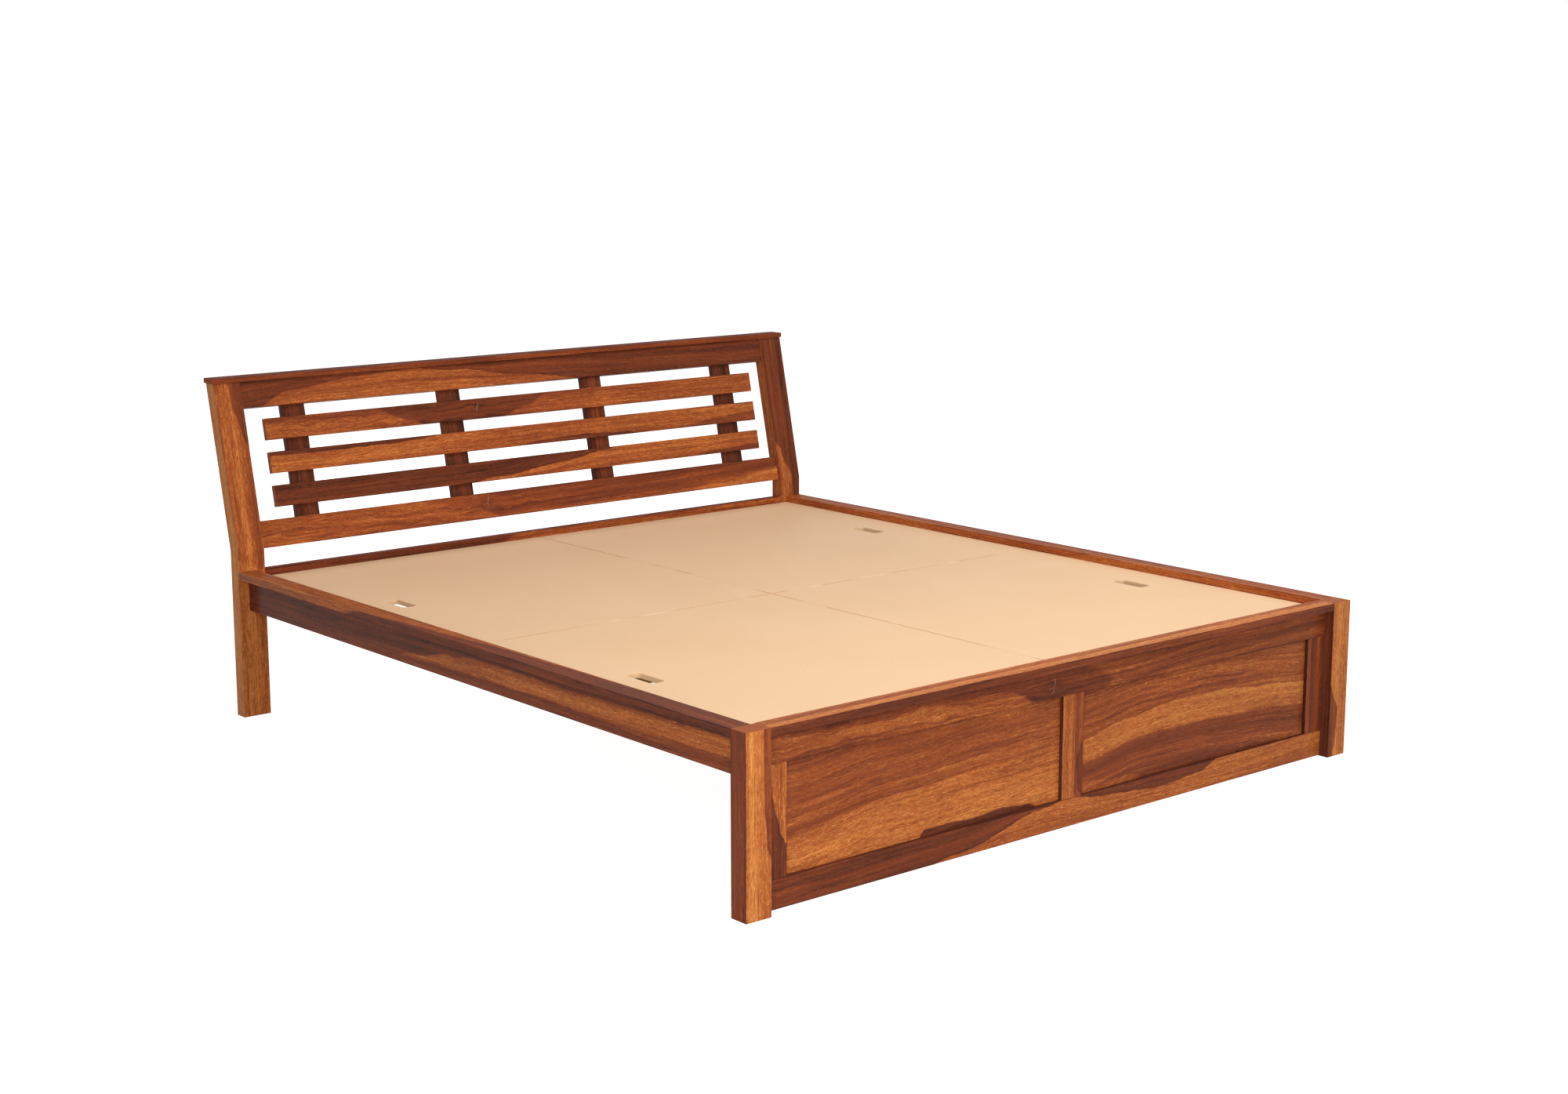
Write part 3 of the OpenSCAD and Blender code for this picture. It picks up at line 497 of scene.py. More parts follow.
            Wedge("below", 0.62, 0.01, ((0.0, 0.14), (0.2, 0.08), (0.35, -0.02), (1.0, -0.2))),
        ),
        "seed": 23,
    },
    "side_rail_left": {
        "zones": (
            (0.0, 0.36), (0.22, 0.33), (0.34, 0.54), (0.6, 0.6), (0.72, 0.54), (0.8, 0.3), (1.0, 0.24),
        ),
        "rise": ((0.0, 0.12), (0.3, 0.02), (0.5, 0.0), (1.0, -0.1)),
        "wedges": (
            Wedge("above", 0.24, 0.05, (
                (0.0, 1.5), (0.42, 1.1), (0.52, 0.66), (0.6, 0.36), (0.66, 0.14), (0.74, 0.1),
                (1.0, 0.02),
            )),
        ),
        "seed": 24,
    },
    "side_rail_right": {
        "zones": ((0.0, 0.32), (0.4, 0.4), (0.6, 0.56), (0.8, 0.3), (1.0, 0.26)),
        "rise": ((0.0, 0.0), (0.4, 0.3), (1.0, -0.2)),
        "seed": 25,
    },
    "side_cap_left": {
        "zones": ((0.0, 0.2), (0.5, 0.26), (1.0, 0.22)),
        "wedges": (
            Wedge("above", 0.58, 0.04, (
                (0.0, 1.3), (0.4, 1.0), (0.55, 0.6), (0.68, 0.2), (0.78, -0.2), (1.0, -0.4),
            )),
        ),
        "seed": 26,
    },
    "side_cap_right": {
        "zones": ((0.0, 0.56), (0.4, 0.5), (1.0, 0.44)),
        "rise": ((0.0, 0.3), (0.5, 0.0), (1.0, 0.3)),
        "seed": 27,
    },
}

# The figure of raw timber, and the seed of its first piece
RAW_FIGURE = {"zones": ((0.0, 0.35), (0.3, 0.6), (0.6, 0.45), (1.0, 0.7))}
RAW_SEED = 40

# The kind of each straight board: the axis of its grain, the axis across its face and the axis of its depth
BOARD_KINDS = {
    "post": ("z", "x", "y"),
    "across": ("x", "z", "y"),
    "lengthwise": ("y", "z", "x"),
    "flat_across": ("x", "y", "z"),
    "flat_lengthwise": ("y", "x", "z"),
}
STEEL_PLATES = ("beam_hanger", "bracket_foot", "bracket_head")
AXES = {"x": Vector((1, 0, 0)), "y": Vector((0, 1, 0)), "z": Vector((0, 0, 1))}

# A point's place along the grain (u), across the face (v) and in the depth (w), the size of the board, and
# the directions along its grain and across its face
Board = namedtuple("Board", "u v w length width depth along across")


def srgb(rgb):
    """A colour in sRGB bytes as a linear RGBA value."""
    linear = [((c / 255 + 0.055) / 1.055) ** 2.4 if c > 10 else c / 255 / 12.92 for c in rgb]
    return (*linear, 1.0)


def srgb_stops(stops):
    """The stops of a ramp, with their colours as linear RGBA values."""
    return [(place, srgb(rgb)) for place, rgb in stops]


class Graph:
    """Short names for the nodes of one material."""

    def __init__(self, name):
        self.material = bpy.data.materials.new(name)
        self.material.use_nodes = True
        self.tree = self.material.node_tree
        self.tree.nodes.clear()

    def node(self, kind, **settings):
        """A new node with its settings."""
        made = self.tree.nodes.new(kind)
        for key, value in settings.items():
            setattr(made, key, value)
        return made

    def feed(self, socket, value):
        """Links an output to a socket, or sets the socket to a constant."""
        if isinstance(value, bpy.types.NodeSocket):
            self.tree.links.new(value, socket)
        else:
            socket.default_value = value

    def math(self, operation, *values):
        """One sum on numbers or outputs."""
        made = self.node("ShaderNodeMath", operation=operation)
        for socket, value in zip(made.inputs, values):
            self.feed(socket, value)
        return made.outputs[0]

    def dot(self, vector, direction):
        """How far a vector reaches in a direction."""
        made = self.node("ShaderNodeVectorMath", operation="DOT_PRODUCT")
        self.feed(made.inputs[0], vector)
        made.inputs[1].default_value = direction
        return made.outputs["Value"]

    def shifted(self, vector, origin):
        """A place as seen from an origin."""
        made = self.node("ShaderNodeVectorMath", operation="SUBTRACT")
        self.feed(made.inputs[0], vector)
        made.inputs[1].default_value = origin
        return made.outputs[0]

    def point(self, x, y, z):
        """Three numbers as one vector."""
        made = self.node("ShaderNodeCombineXYZ")
        for socket, value in zip(made.inputs, (x, y, z)):
            self.feed(socket, value)
        return made.outputs[0]

    def noise(self, coords, layer, seed=0):
        """A layer of noise over three coordinates, each at its own scale; seed moves it elsewhere."""
        start = (seed + layer.shift) * SEED_STRIDE
        moved = []
        for axis, (coordinate, scale) in enumerate(zip(coords, layer.scales)):
            moved.append(self.math("MULTIPLY_ADD", coordinate, scale, start + AXIS_STRIDE * axis))
        made = self.node("ShaderNodeTexNoise", noise_dimensions="3D")
        self.feed(made.inputs["Vector"], self.point(*moved))
        made.inputs["Scale"].default_value = 1.0
        made.inputs["Detail"].default_value = layer.detail
        made.inputs["Roughness"].default_value = layer.roughness
        return made.outputs["Fac"]

    def centred(self, coords, layer, seed=0):
        """A layer of noise round zero."""
        return self.math("SUBTRACT", self.noise(coords, layer, seed), 0.5)

    def step(self, value, low, high, to_low=0.0, to_high=1.0):
        """A smooth step between two values."""
        made = self.node("ShaderNodeMapRange", interpolation_type="SMOOTHSTEP")
        limits = {"From Min": low, "From Max": high, "To Min": to_low, "To Max": to_high}
        for name, number in limits.items():
            made.inputs[name].default_value = number
        self.feed(made.inputs["Value"], value)
        return made.outputs["Result"]

    def ramp(self, value, stops, interpolation="EASE"):
        """A ramp whose stops are places and colours, or places and grey values."""
        made = self.node("ShaderNodeValToRGB")
        made.color_ramp.interpolation = interpolation
        elements = made.color_ramp.elements
        while len(elements) < len(stops):
            elements.new(0.5)
        for element, (place, colour) in zip(elements, stops):
            element.position = place
            element.color = colour if isinstance(colour, tuple) else (colour, colour, colour, 1.0)
        self.feed(made.inputs["Fac"], value)
        return made.outputs["Color"]

    def curve(self, value, points):
        """A smooth curve through points whose heights lie between -CURVE_REACH and CURVE_REACH."""
        span = 2 * CURVE_REACH
        height = self.ramp(value, [(place, 0.5 + height / span) for place, height in points])
        return self.math("MULTIPLY_ADD", height, span, -CURVE_REACH)

    def blend(self, share, low, high):
        """A value between two values."""
        return self.math("MULTIPLY_ADD", share, self.math("SUBTRACT", high, low), low)

    def mix(self, share, low, high, blend="MIX"):
        """A colour between two colours."""
        made = self.node("ShaderNodeMix", data_type="RGBA", blend_type=blend)
        self.feed(made.inputs["Factor"], share)
        self.feed(made.inputs["A"], low)
        self.feed(made.inputs["B"], high)
        return made.outputs["Result"]

    def near(self, board, knot, shares):
        """How near a point is to a knot: 1 in its middle, 0 at the shares of its reach along and across."""
        reach, width = (knot.reach * share for share in shares)
        along, across = self.math("DIVIDE", board.u, reach), self.math("DIVIDE", board.v, width)
        far = self.node("ShaderNodeVectorMath", operation="DISTANCE")
        self.feed(far.inputs[0], self.point(along, across, 0))
        far.inputs[1].default_value = (knot.along / reach, knot.across / width, 0)
        return self.step(far.outputs["Value"], 0.0, 1.0, 1.0, 0.0)

    def finish(self, colour, roughness, height, relief, **constants):
        """The shader, with its constants on its own sockets, and a fine relief."""
        shader = self.node("ShaderNodeBsdfPrincipled")
        for name, value in constants.items():
            self.feed(shader.inputs[name.replace("_", " ")], value)
        self.feed(shader.inputs["Base Color"], colour)
        self.feed(shader.inputs["Roughness"], roughness)
        bump = self.node("ShaderNodeBump")
        bump.inputs["Strength"].default_value = relief
        bump.inputs["Distance"].default_value = RELIEF_DEPTH
        self.feed(bump.inputs["Height"], height)
        self.feed(shader.inputs["Normal"], bump.outputs["Normal"])
        out = self.node("ShaderNodeOutputMaterial")
        self.feed(out.inputs["Surface"], shader.outputs["BSDF"])
        return self.material


def board_coordinates(g, name, kind):
    """Where a point of a board lies along its grain, across its face and into its depth, in metres."""
    place = g.node("ShaderNodeTexCoord").outputs["Object"]
    low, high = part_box(name)
    if kind == "bent_post":
        return bent_post_coordinates(g, place, low, high)
    if kind.startswith("leaning"):
        return leaning_coordinates(g, place, low, high, kind)
    size = high - low
    along, across, into = (AXES[axis] for axis in BOARD_KINDS[kind])
    length, width, depth = size.dot(along), size.dot(across), size.dot(into)
    local = g.shifted(place, low)
    u, v, w = g.dot(local, along), g.dot(local, across), g.dot(local, into)
    return Board(u, v, w, length, width, depth, along, across)


def leaning_coordinates(g, place, low, high, kind):
    """Coordinates of a board that leans with the headboard, its grain up the headboard or across it."""
    up, into = LEANING
    size = high - low
    spread = math.cos(RAKE) ** 2 - math.sin(RAKE) ** 2
    tall = (size.z * math.cos(RAKE) - size.y * math.sin(RAKE)) / spread
    depth = (size.y * math.cos(RAKE) - size.z * math.sin(RAKE)) / spread
    if kind == "leaning_up":
        along, across, length, width = up, AXES["x"], tall, size.x
    else:
        along, across, length, width = AXES["x"], up, size.x, tall
    local = g.shifted(place, low + Vector((0, 0, depth * math.sin(RAKE))))
    u, v, w = g.dot(local, along), g.dot(local, across), g.dot(local, into)
    return Board(u, v, w, length, width, depth, along, across)


def bent_post_coordinates(g, place, low, high):
    """Coordinates that follow a head post round its kink, so that its figure leans with it."""
    local = g.shifted(place, Vector((low.x, low.y, KINK_HEIGHT)))
    upper = LEANING
    lower = (AXES["z"], AXES["y"])
    halfway = Vector((0, math.sin(RAKE / 2), math.cos(RAKE / 2)))
    leans = g.math("GREATER_THAN", g.dot(local, halfway), 0.0)
    picked = []
    for up, down in zip(upper, lower):
        above = g.math("MULTIPLY", g.dot(local, up), leans)
        below = g.math("MULTIPLY", g.dot(local, down), g.math("SUBTRACT", 1.0, leans))
        picked.append(g.math("ADD", above, below))
    u = g.math("ADD", picked[0], KINK_HEIGHT)
    v, w = g.dot(local, AXES["x"]), picked[1]
    rise = high.z - KINK_HEIGHT
    length = KINK_HEIGHT + rise / math.cos(RAKE)
    depth = (high.y - low.y - rise * math.tan(RAKE)) * math.cos(RAKE)
    return Board(u, v, w, length, high.x - low.x, depth, AXES["z"], AXES["x"])


def grain_line(g, board, figure, share):
    """What stays level along a line of the grain, which wanders, curls, frays and bulges round knots."""
    seed = figure["seed"]
    wave = figure.get("wave", 1.0)
    at = (board.u, board.v, board.w)
    small = g.math("MULTIPLY", g.centred(at, WANDER_SMALL, seed), WANDER_SMALL_REACH * wave)
    wander = g.math("MULTIPLY_ADD", g.centred(at, WANDER_BROAD, seed), WANDER_BROAD_REACH * wave, small)
    wander = g.math("MULTIPLY_ADD", g.centred(at, FRAY, seed), FRAY_REACH, wander)
    if "swirl" in figure:
        reach, end = figure["swirl"]
        fading = g.step(share, end - SWIRL_FADE, end, reach, 0.0)
        wander = g.math("MULTIPLY_ADD", g.centred(at, CURLS, seed), fading, wander)
    line = g.math("ADD", g.math("MULTIPLY_ADD", board.w, GRAIN_SLANT, board.v), wander)
    for knot in figure.get("knots", ()):
        bulge = g.math("MULTIPLY", g.near(board, knot, KNOT_BULGE), BULGE_STRENGTH)
        away = g.math("SUBTRACT", knot.across, board.v)
        line = g.math("ADD", line, g.math("MULTIPLY", bulge, away))
    return line


def wedge_tone(g, figure, share, across, tone):
    """Lays the wedges of the figure over its zones, each darkest just inside its edge."""
    for wedge in figure.get("wedges", ()):
        beyond = g.math("SUBTRACT", across, g.curve(share, wedge.curve))
        inside = beyond if wedge.side == "above" else g.math("MULTIPLY", beyond, -1.0)
        rim = g.step(inside, 0.0, RIM_REACH, wedge.tone - RIM_DEPTH, wedge.tone)
        tone = g.blend(g.step(inside, -wedge.blur, wedge.blur), tone, rim)
    return tone


def side_tone(g, figure, toward, tone):
    """Gives a board's two narrow sides their own tones, partly the wood's and partly painted light and
    shade.
    """
    low, high = figure.get("edges", (None, None))
    turned, square = SIDE_STEP
    # Painted shade on the narrow sides that face away from the light or into recesses, and painted light
    # where a side is set paler
    if low is not None:
        tone = g.blend(g.step(toward, -square, -turned, 1.0, 0.0), tone, low)
    if high is not None:
        tone = g.blend(g.step(toward, turned, square), tone, high)
    return tone


def grain_tone(g, board, figure, line, tone):
    """Lays bands, streaks, growth rings, threads and thin dark veins over the zones, along the grain."""
    seed = figure["seed"]
    at = (board.u, line, board.w)
    bands = g.centred(at, BANDS, seed)
    streaks = g.centred(at, STREAKS, seed)
    lively = g.step(g.noise(at, LIVELY, seed), *LIVELY_STEP)
    threads = g.math("MULTIPLY", g.centred(at, THREADS, seed), lively)
    turns = g.math("MULTIPLY", line, RINGS_PER_METRE * math.tau)
    phase = g.math("MULTIPLY_ADD", streaks, RING_SHIFT, turns)
    rings = g.math("MULTIPLY", g.math("SINE", phase), g.step(tone, *RING_STEP))
    vein = g.step(g.math("ABSOLUTE", g.centred(at, VEINS, seed)), *VEIN_STEP)
    for part, strength in ((bands, BAND_STRENGTH), (streaks, STREAK_STRENGTH), (threads, THREAD_STRENGTH)):
        tone = g.math("MULTIPLY_ADD", part, strength, tone)
    tone = g.math("ADD", rings, tone)
    tone = g.math("ADD", vein, tone)
    for knot in figure.get("knots", ()):
        tone = g.math("MULTIPLY_ADD", g.near(board, knot, KNOT_SHADE), SHADE_DEPTH, tone)
    return tone


def arris_tone(g, board, figure, tone):
    """Paints shade along the long edges of a board as a dark line, and leaves them a little pale where they
    are rubbed.
    """
    across = g.math("MINIMUM", board.v, g.math("SUBTRACT", board.width, board.v))
    deep = g.math("MINIMUM", board.w, g.math("SUBTRACT", board.depth, board.w))
    off = g.math("MAXIMUM", across, deep)
    rubbed = g.noise((board.u, board.v, board.w), RUBBED, figure["seed"])
    # The long edges get a painted shade line, broken by paler rubbed spots
    return g.math("MULTIPLY_ADD", g.step(off, *ARRIS_STEP), g.step(rubbed, *ARRIS_SHADE_AND_RUBBED_STEP), tone)


def end_grain(g, board, figure, toward, tone):
    """Gives a board's sawn ends an even tone with small rings."""
    ends = g.step(g.math("ABSOLUTE", toward), *END_STEP)
    rings = g.centred((board.u, board.v, board.w), END_RINGS, figure["seed"])
    return g.blend(ends, tone, g.math("MULTIPLY_ADD", rings, END_RING_STRENGTH, END_GRAIN_TONE))


def knot_marks(g, board, figure, colour):
    """A small pale forked crack in each knot, its arms bent and broken up."""
    for knot in figure.get("knots", ()):
        heart = g.step(g.near(board, knot, KNOT_HEART), *CRACK_END_STEP)
        jitter = g.noise((board.u, board.v, board.w), CRACK_BREAKS, figure["seed"])
        beside = g.math("SUBTRACT", board.u, knot.along + CRACK_SHIFT)
        beside = g.math("MULTIPLY_ADD", jitter, CRACK_JITTER, beside)
        above = g.math("SUBTRACT", board.v, knot.across)
        bend = g.math("MULTIPLY", g.math("MULTIPLY", above, above), CRACK_BEND)
        low_half = g.step(above, *CRACK_MIDDLE_STEP)
        high_half = g.math("SUBTRACT", 1.0, low_half)
        arms = [(CRACK_ARM_ABOVE, high_half)]
        arms += [(slope, low_half) for slope in CRACK_ARMS_BELOW]
        for slope, half in arms:
            off = g.math("ABSOLUTE", g.math("ADD", g.math("MULTIPLY_ADD", above, slope, beside), bend))
            share = g.math("MULTIPLY", g.step(off, *CRACK_LINE_STEP), heart)
            colour = g.mix(g.math("MULTIPLY", share, half), colour, srgb(KNOT_CRACK))
    return colour


def wood_colour(g, board, figure, timber, line, tone):
    """The colour of a tone with flecks, pores, mottle and knots, and the pores and mottle themselves."""
    seed = figure["seed"]
    at = (board.u, line, board.w)
    colour = g.ramp(tone, srgb_stops(timber.ramp), "LINEAR")
    flecks = g.step(g.noise(at, FLECKS, seed), *FLECK_STEP)
    flecks = g.math("MULTIPLY", flecks, g.step(tone, *FLECK_TONE_STEP))
    colour = g.mix(flecks, colour, srgb(timber.fleck))
    pores = g.step(g.noise(at, PORES, seed), *PORE_STEP)
    pores = g.math("MULTIPLY", pores, g.step(tone, *PORE_TONE_STEP))
    colour = g.mix(pores, colour, srgb(timber.pore))
    mottle = g.noise((board.u, board.v, board.w), MOTTLE, seed)
    colour = g.mix(1.0, colour, g.ramp(mottle, MOTTLE_RAMP), "MULTIPLY")
    return knot_marks(g, board, figure, colour), pores, mottle


def wood(name, kind, figure, timber, lacquered):
    """A board: broad zones along the grain, streaks, growth rings, pale flecks and dark pores."""
    g = Graph("wood_" + name)
    board = board_coordinates(g, name, kind)
    facing = g.node("ShaderNodeNewGeometry").outputs["True Normal"]
    share = g.math("DIVIDE", board.u, board.length)
    flow = grain_line(g, board, figure, share)
    line = g.math("MULTIPLY_ADD", g.curve(share, figure.get("rise", LEVEL)), -board.width, flow)
    tone = g.ramp(g.math("DIVIDE", line, board.width), figure["zones"])
    tone = wedge_tone(g, figure, share, g.math("DIVIDE", flow, board.width), tone)
    tone = side_tone(g, figure, g.dot(facing, board.across), tone)
    tone = grain_tone(g, board, figure, line, tone)
    tone = arris_tone(g, board, figure, tone)
    tone = end_grain(g, board, figure, g.dot(facing, board.along), tone)
    colour, pores, mottle = wood_colour(g, board, figure, timber, line, tone)

    height = g.math("MULTIPLY", pores, -1.0)
    rougher = g.math("MULTIPLY_ADD", mottle, MOTTLE_ROUGHNESS, g.math("MULTIPLY", pores, PORE_ROUGHNESS))
    if lacquered:
        flat = g.step(g.math("ABSOLUTE", g.dot(facing, AXES["z"])), *SIDE_STEP)
        base, relief = g.blend(flat, LACQUER_UPRIGHT, LACQUER_TOP), LACQUER_RELIEF
        sheen = figure.get("sheen", SHEEN)
    else:
        base, relief, sheen = RAW_WOOD, RAW_RELIEF, RAW_SHEEN
    roughness = g.math("ADD", rougher, base)
    return g.finish(colour, roughness, height, relief, IOR=REFRACTION, Specular_IOR_Level=sheen)


def seam_light_and_shade(g, colour, at, level):
    """Painted shade lines and pale painted highlights beside the seams, in patches, on the level faces of
    the deck boards.
    """
    x, y, _ = at
    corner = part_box("deck_board_foot_left")[1]
    patches = g.noise(at, DECK_PATCHES)
    shade_spots = g.math("MULTIPLY", level, g.step(patches, *SEAM_SHADE_SPOTS_STEP))
    highlight_spots = g.math("MULTIPLY", level, g.step(patches, *SEAM_HIGHLIGHT_SPOTS_STEP))
    seams = ((x, corner.x, SEAM_HIGHLIGHT_LENGTHWISE), (y, corner.y, SEAM_HIGHLIGHT_CROSSWISE))
    for across, seam, highlight_strength in seams:
        # Each seam gets a painted shade line beside it, and painted highlight strokes in patches along it
        off = g.math("ABSOLUTE", g.math("SUBTRACT", across, seam + DECK_SEAM_GAP / 2))
        seam_shade = g.math("MULTIPLY", g.step(off, *SEAM_SHADE_REACH, DECK_SEAM_SHADE_STRENGTH, 0.0), shade_spots)
        colour = g.mix(seam_shade, colour, srgb(DECK_SEAM_SHADE))
        seam_highlight = g.math("MULTIPLY", g.step(off, *SEAM_HIGHLIGHT_REACH, highlight_strength, 0.0), highlight_spots)
        colour = g.mix(seam_highlight, colour, srgb(DECK_SEAM_HIGHLIGHT))
    return colour


def deck_material():
    """Smooth tan board with a faint mottle, tiny fibres, pale chips, browner cut edges and painted seam
    shade and highlights.
    """
    g = Graph("deck_board_tan")
    place = g.node("ShaderNodeTexCoord").outputs["Object"]
    facing = g.node("ShaderNodeNewGeometry").outputs["True Normal"]
    at = tuple(g.dot(place, AXES[axis]) for axis in "xyz")
    clouds = g.noise(at, DECK_CLOUDS)
    fibres = g.noise(at, DECK_FIBRES)
    chips = g.noise(at, DECK_CHIPS)
    base = g.ramp(clouds, srgb_stops(DECK_TANS), "LINEAR")
    base = g.mix(g.step(fibres, *FIBRE_STEP), base, srgb(DECK_FIBRE))
    base = g.mix(g.step(chips, *CHIP_STEP), base, srgb(DECK_CHIP))
    level = g.step(g.math("ABSOLUTE", g.dot(facing, AXES["z"])), *DECK_FACE_STEP)
    colour = g.mix(level, g.mix(CUT_EDGE_SHARE, base, srgb(DECK_CUT_EDGE)), base)
    colour = seam_light_and_shade(g, colour, at, level)
    roughness = g.math("MULTIPLY_ADD", fibres, FIBRE_ROUGHNESS, DECK_ROUGHNESS)
    return g.finish(colour, roughness, fibres, DECK_RELIEF, IOR=REFRACTION, Specular_IOR_Level=DECK_SHEEN)


def steel_material():
    """Zinc-plated steel with a fine brushed grain and dull patches."""
    g = Graph("zinc_steel_plated")
    place = g.node("ShaderNodeTexCoord").outputs["Object"]
    at = tuple(g.dot(place, AXES[axis]) for axis in "xyz")
    patches = g.noise(at, ZINC_PATCHES)
    brushed = g.noise(at, ZINC_LINES)
    colour = g.ramp(patches, srgb_stops(ZINC_GREYS), "LINEAR")
    colour = g.mix(g.step(brushed, *BRUSHED_STEP), colour, srgb(ZINC_BRUSHED))
    roughness = g.math("MULTIPLY_ADD", patches, PATCH_ROUGHNESS, ZINC_ROUGHNESS)
    return g.finish(colour, roughness, brushed, ZINC_RELIEF, Metallic=1.0)


def kind_of(name):
    """The kind of a board, which says how its grain runs and which way its face looks."""
    if name.startswith("head_post"):
        return "bent_post"
    if name.startswith("headboard_batten"):
        return "leaning_up"
    if name.startswith(("headboard_slat", "headboard_top", "headboard_lower")):
        return "leaning_across"
    if name in ("headboard_cap", "foot_cap"):
        return "flat_across"
    if name.startswith(("side_cap", "rail_dowels")):
        return "flat_lengthwise"
    if name.startswith(("side_rail", "side_ledger", "centre_beam")):
        return "lengthwise"
    if name.startswith(("foot_post", "foot_stile", "foot_muntin", "centre_leg", "cap_dowels")):
        return "post"
    return "across"


def eased_width(name, slot):
    """How wide the eased edges of a piece are; dowels, screws, bolts, nuts and washers have none."""
    if slot.startswith("rosewood"):
        return ROSEWOOD_EASE
    if slot == "deck_board":
        return DECK_EASE
    if slot == "support_timber":
        return SUPPORT_EASE
    return STEEL_EASE if name.startswith(STEEL_PLATES) else 0.0


def ease_edges(piece, width):
    """Rounds a piece's long edges a little, as sanding, lacquer and plating do."""
    weld = piece.modifiers.new("weld", "WELD")
    weld.merge_threshold = WELD_REACH
    bevel = piece.modifiers.new("ease", "BEVEL")
    bevel.width = width
    bevel.segments = EASE_FACES
    bevel.limit_method = "ANGLE"
    bevel.angle_limit = EASED_ANGLE
    bevel.harden_normals = True
    bevel.use_clamp_overlap = True


def dress(frame):
    """Gives every CAD node its material and its eased edges."""
    slots = {subpart["node"]: subpart["material_slot"] for subpart in frame["record"]["subparts"]}
    steel = steel_material()
    deck = deck_material()
    for order, (name, piece) in enumerate(sorted(frame["nodes"].items())):
        slot = slots[name]
        if slot.startswith("rosewood"):
            material = wood(name, kind_of(name), FIGURES[name], ROSEWOOD, True)
        elif slot == "deck_board":
            material = deck
        elif slot == "zinc_steel":
            material = steel
        else:
            timber = PINE if slot == "support_timber" else BEECH
            figure = {**RAW_FIGURE, "seed": RAW_SEED + order}
            material = wood(name, kind_of(name), figure, timber, False)
        piece.data.materials.clear()
        piece.data.materials.append(material)
        width = eased_width(name, slot)
        if width > 0:
            ease_edges(piece, width)


def seen_or_mirrored(tree):
    """One where a surface is seen, mirrored or seen through glass, and zero where it only gives light."""
    path = tree.nodes.new("ShaderNodeLightPath")
    shown = path.outputs["Is Camera Ray"]
    for ray in ("Is Transmission Ray", "Is Glossy Ray"):
        either = tree.nodes.new("ShaderNodeMath")
        either.operation = "MAXIMUM"
        tree.links.new(shown, either.inputs[0])
        tree.links.new(path.outputs[ray], either.inputs[1])
        shown = either.outputs[0]
    return shown


def add_floor():
    """A pale floor that keeps the bed's soft shadow and runs on into the white background."""
    bpy.ops.mesh.primitive_plane_add(size=FLOOR_SIZE, location=(0, 0, 0))
    floor = bpy.context.active_object
    floor.name = "studio_floor"
    material = bpy.data.materials.new("floor_white")
    material.use_nodes = True
    tree = material.node_tree
    tree.nodes.clear()
    diffuse = tree.nodes.new("ShaderNodeBsdfDiffuse")
    diffuse.inputs["Color"].default_value = FLOOR_GREY
    glow = tree.nodes.new("ShaderNodeEmission")
    glow.inputs["Color"].default_value = WHITE
    level = tree.nodes.new("ShaderNodeMath")
    level.operation = "MULTIPLY"
    level.inputs[1].default_value = FLOOR_GLOW
    tree.links.new(seen_or_mirrored(tree), level.inputs[0])
    tree.links.new(level.outputs[0], glow.inputs["Strength"])
    both = tree.nodes.new("ShaderNodeAddShader")
    out = tree.nodes.new("ShaderNodeOutputMaterial")
    tree.links.new(diffuse.outputs[0], both.inputs[0])
    tree.links.new(glow.outputs[0], both.inputs[1])
    tree.links.new(both.outputs[0], out.inputs["Surface"])
    floor.data.materials.append(material)


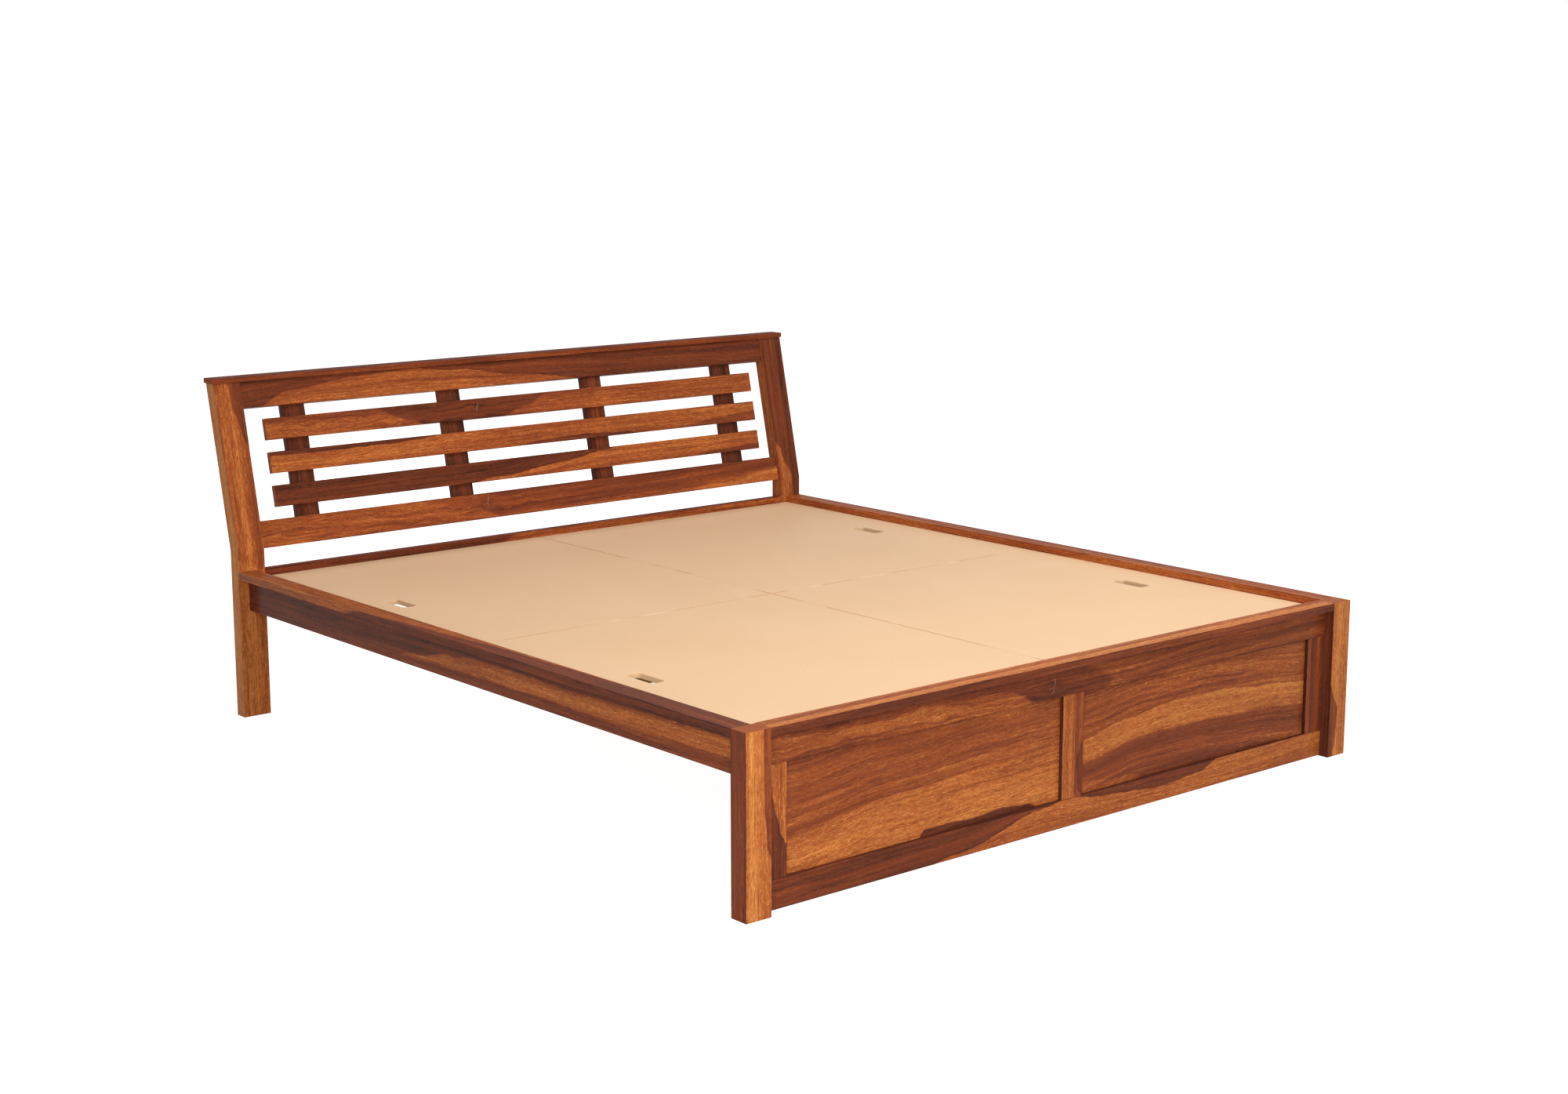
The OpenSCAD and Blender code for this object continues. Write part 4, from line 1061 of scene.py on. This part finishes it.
def add_world():
    """An even white surround: one level as light, and pure white where it is seen or mirrored."""
    world = bpy.data.worlds.new("studio")
    bpy.context.scene.world = world
    world.use_nodes = True
    tree = world.node_tree
    tree.nodes.clear()
    strength = tree.nodes.new("ShaderNodeMapRange")
    strength.inputs["To Min"].default_value = SURROUND_LIGHT
    strength.inputs["To Max"].default_value = SURROUND_SEEN
    tree.links.new(seen_or_mirrored(tree), strength.inputs["Value"])
    shade = tree.nodes.new("ShaderNodeBackground")
    shade.inputs["Color"].default_value = WHITE
    tree.links.new(strength.outputs["Result"], shade.inputs["Strength"])
    out = tree.nodes.new("ShaderNodeOutputWorld")
    tree.links.new(shade.outputs[0], out.inputs["Surface"])


def add_lamp(name, place, target, size, energy):
    """A soft square lamp aimed at a point, which isn't mirrored in the lacquer."""
    data = bpy.data.lights.new(name, "AREA")
    data.shape = "SQUARE"
    data.size = size
    data.energy = energy
    lamp = bpy.data.objects.new(name, data)
    bpy.context.scene.collection.objects.link(lamp)
    lamp.location = place
    lamp.visible_glossy = False
    lamp.rotation_euler = (Vector(target) - Vector(place)).to_track_quat("-Z", "Y").to_euler()


def add_camera():
    """The camera that took the photograph."""
    data = bpy.data.cameras.new("camera")
    data.lens = CAMERA_LENS
    data.sensor_width = SENSOR_WIDTH
    camera = bpy.data.objects.new("camera", data)
    bpy.context.scene.collection.objects.link(camera)
    camera.location = CAMERA_PLACE
    camera.rotation_euler = (math.radians(CAMERA_PITCH), 0, math.radians(CAMERA_YAW))
    bpy.context.scene.camera = camera


with open("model.json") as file:
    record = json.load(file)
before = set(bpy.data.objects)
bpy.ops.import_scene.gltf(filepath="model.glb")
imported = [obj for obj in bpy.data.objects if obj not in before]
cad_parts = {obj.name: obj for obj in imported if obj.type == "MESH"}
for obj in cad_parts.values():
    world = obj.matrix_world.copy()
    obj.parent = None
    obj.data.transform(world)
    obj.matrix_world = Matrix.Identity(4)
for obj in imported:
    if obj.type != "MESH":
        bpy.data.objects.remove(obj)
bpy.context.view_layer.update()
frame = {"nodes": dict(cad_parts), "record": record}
bpy.context.scene.view_settings.view_transform = "Standard"
dress(frame)
add_floor()
add_world()
for lamp in LAMPS:
    add_lamp(*lamp)
add_camera()
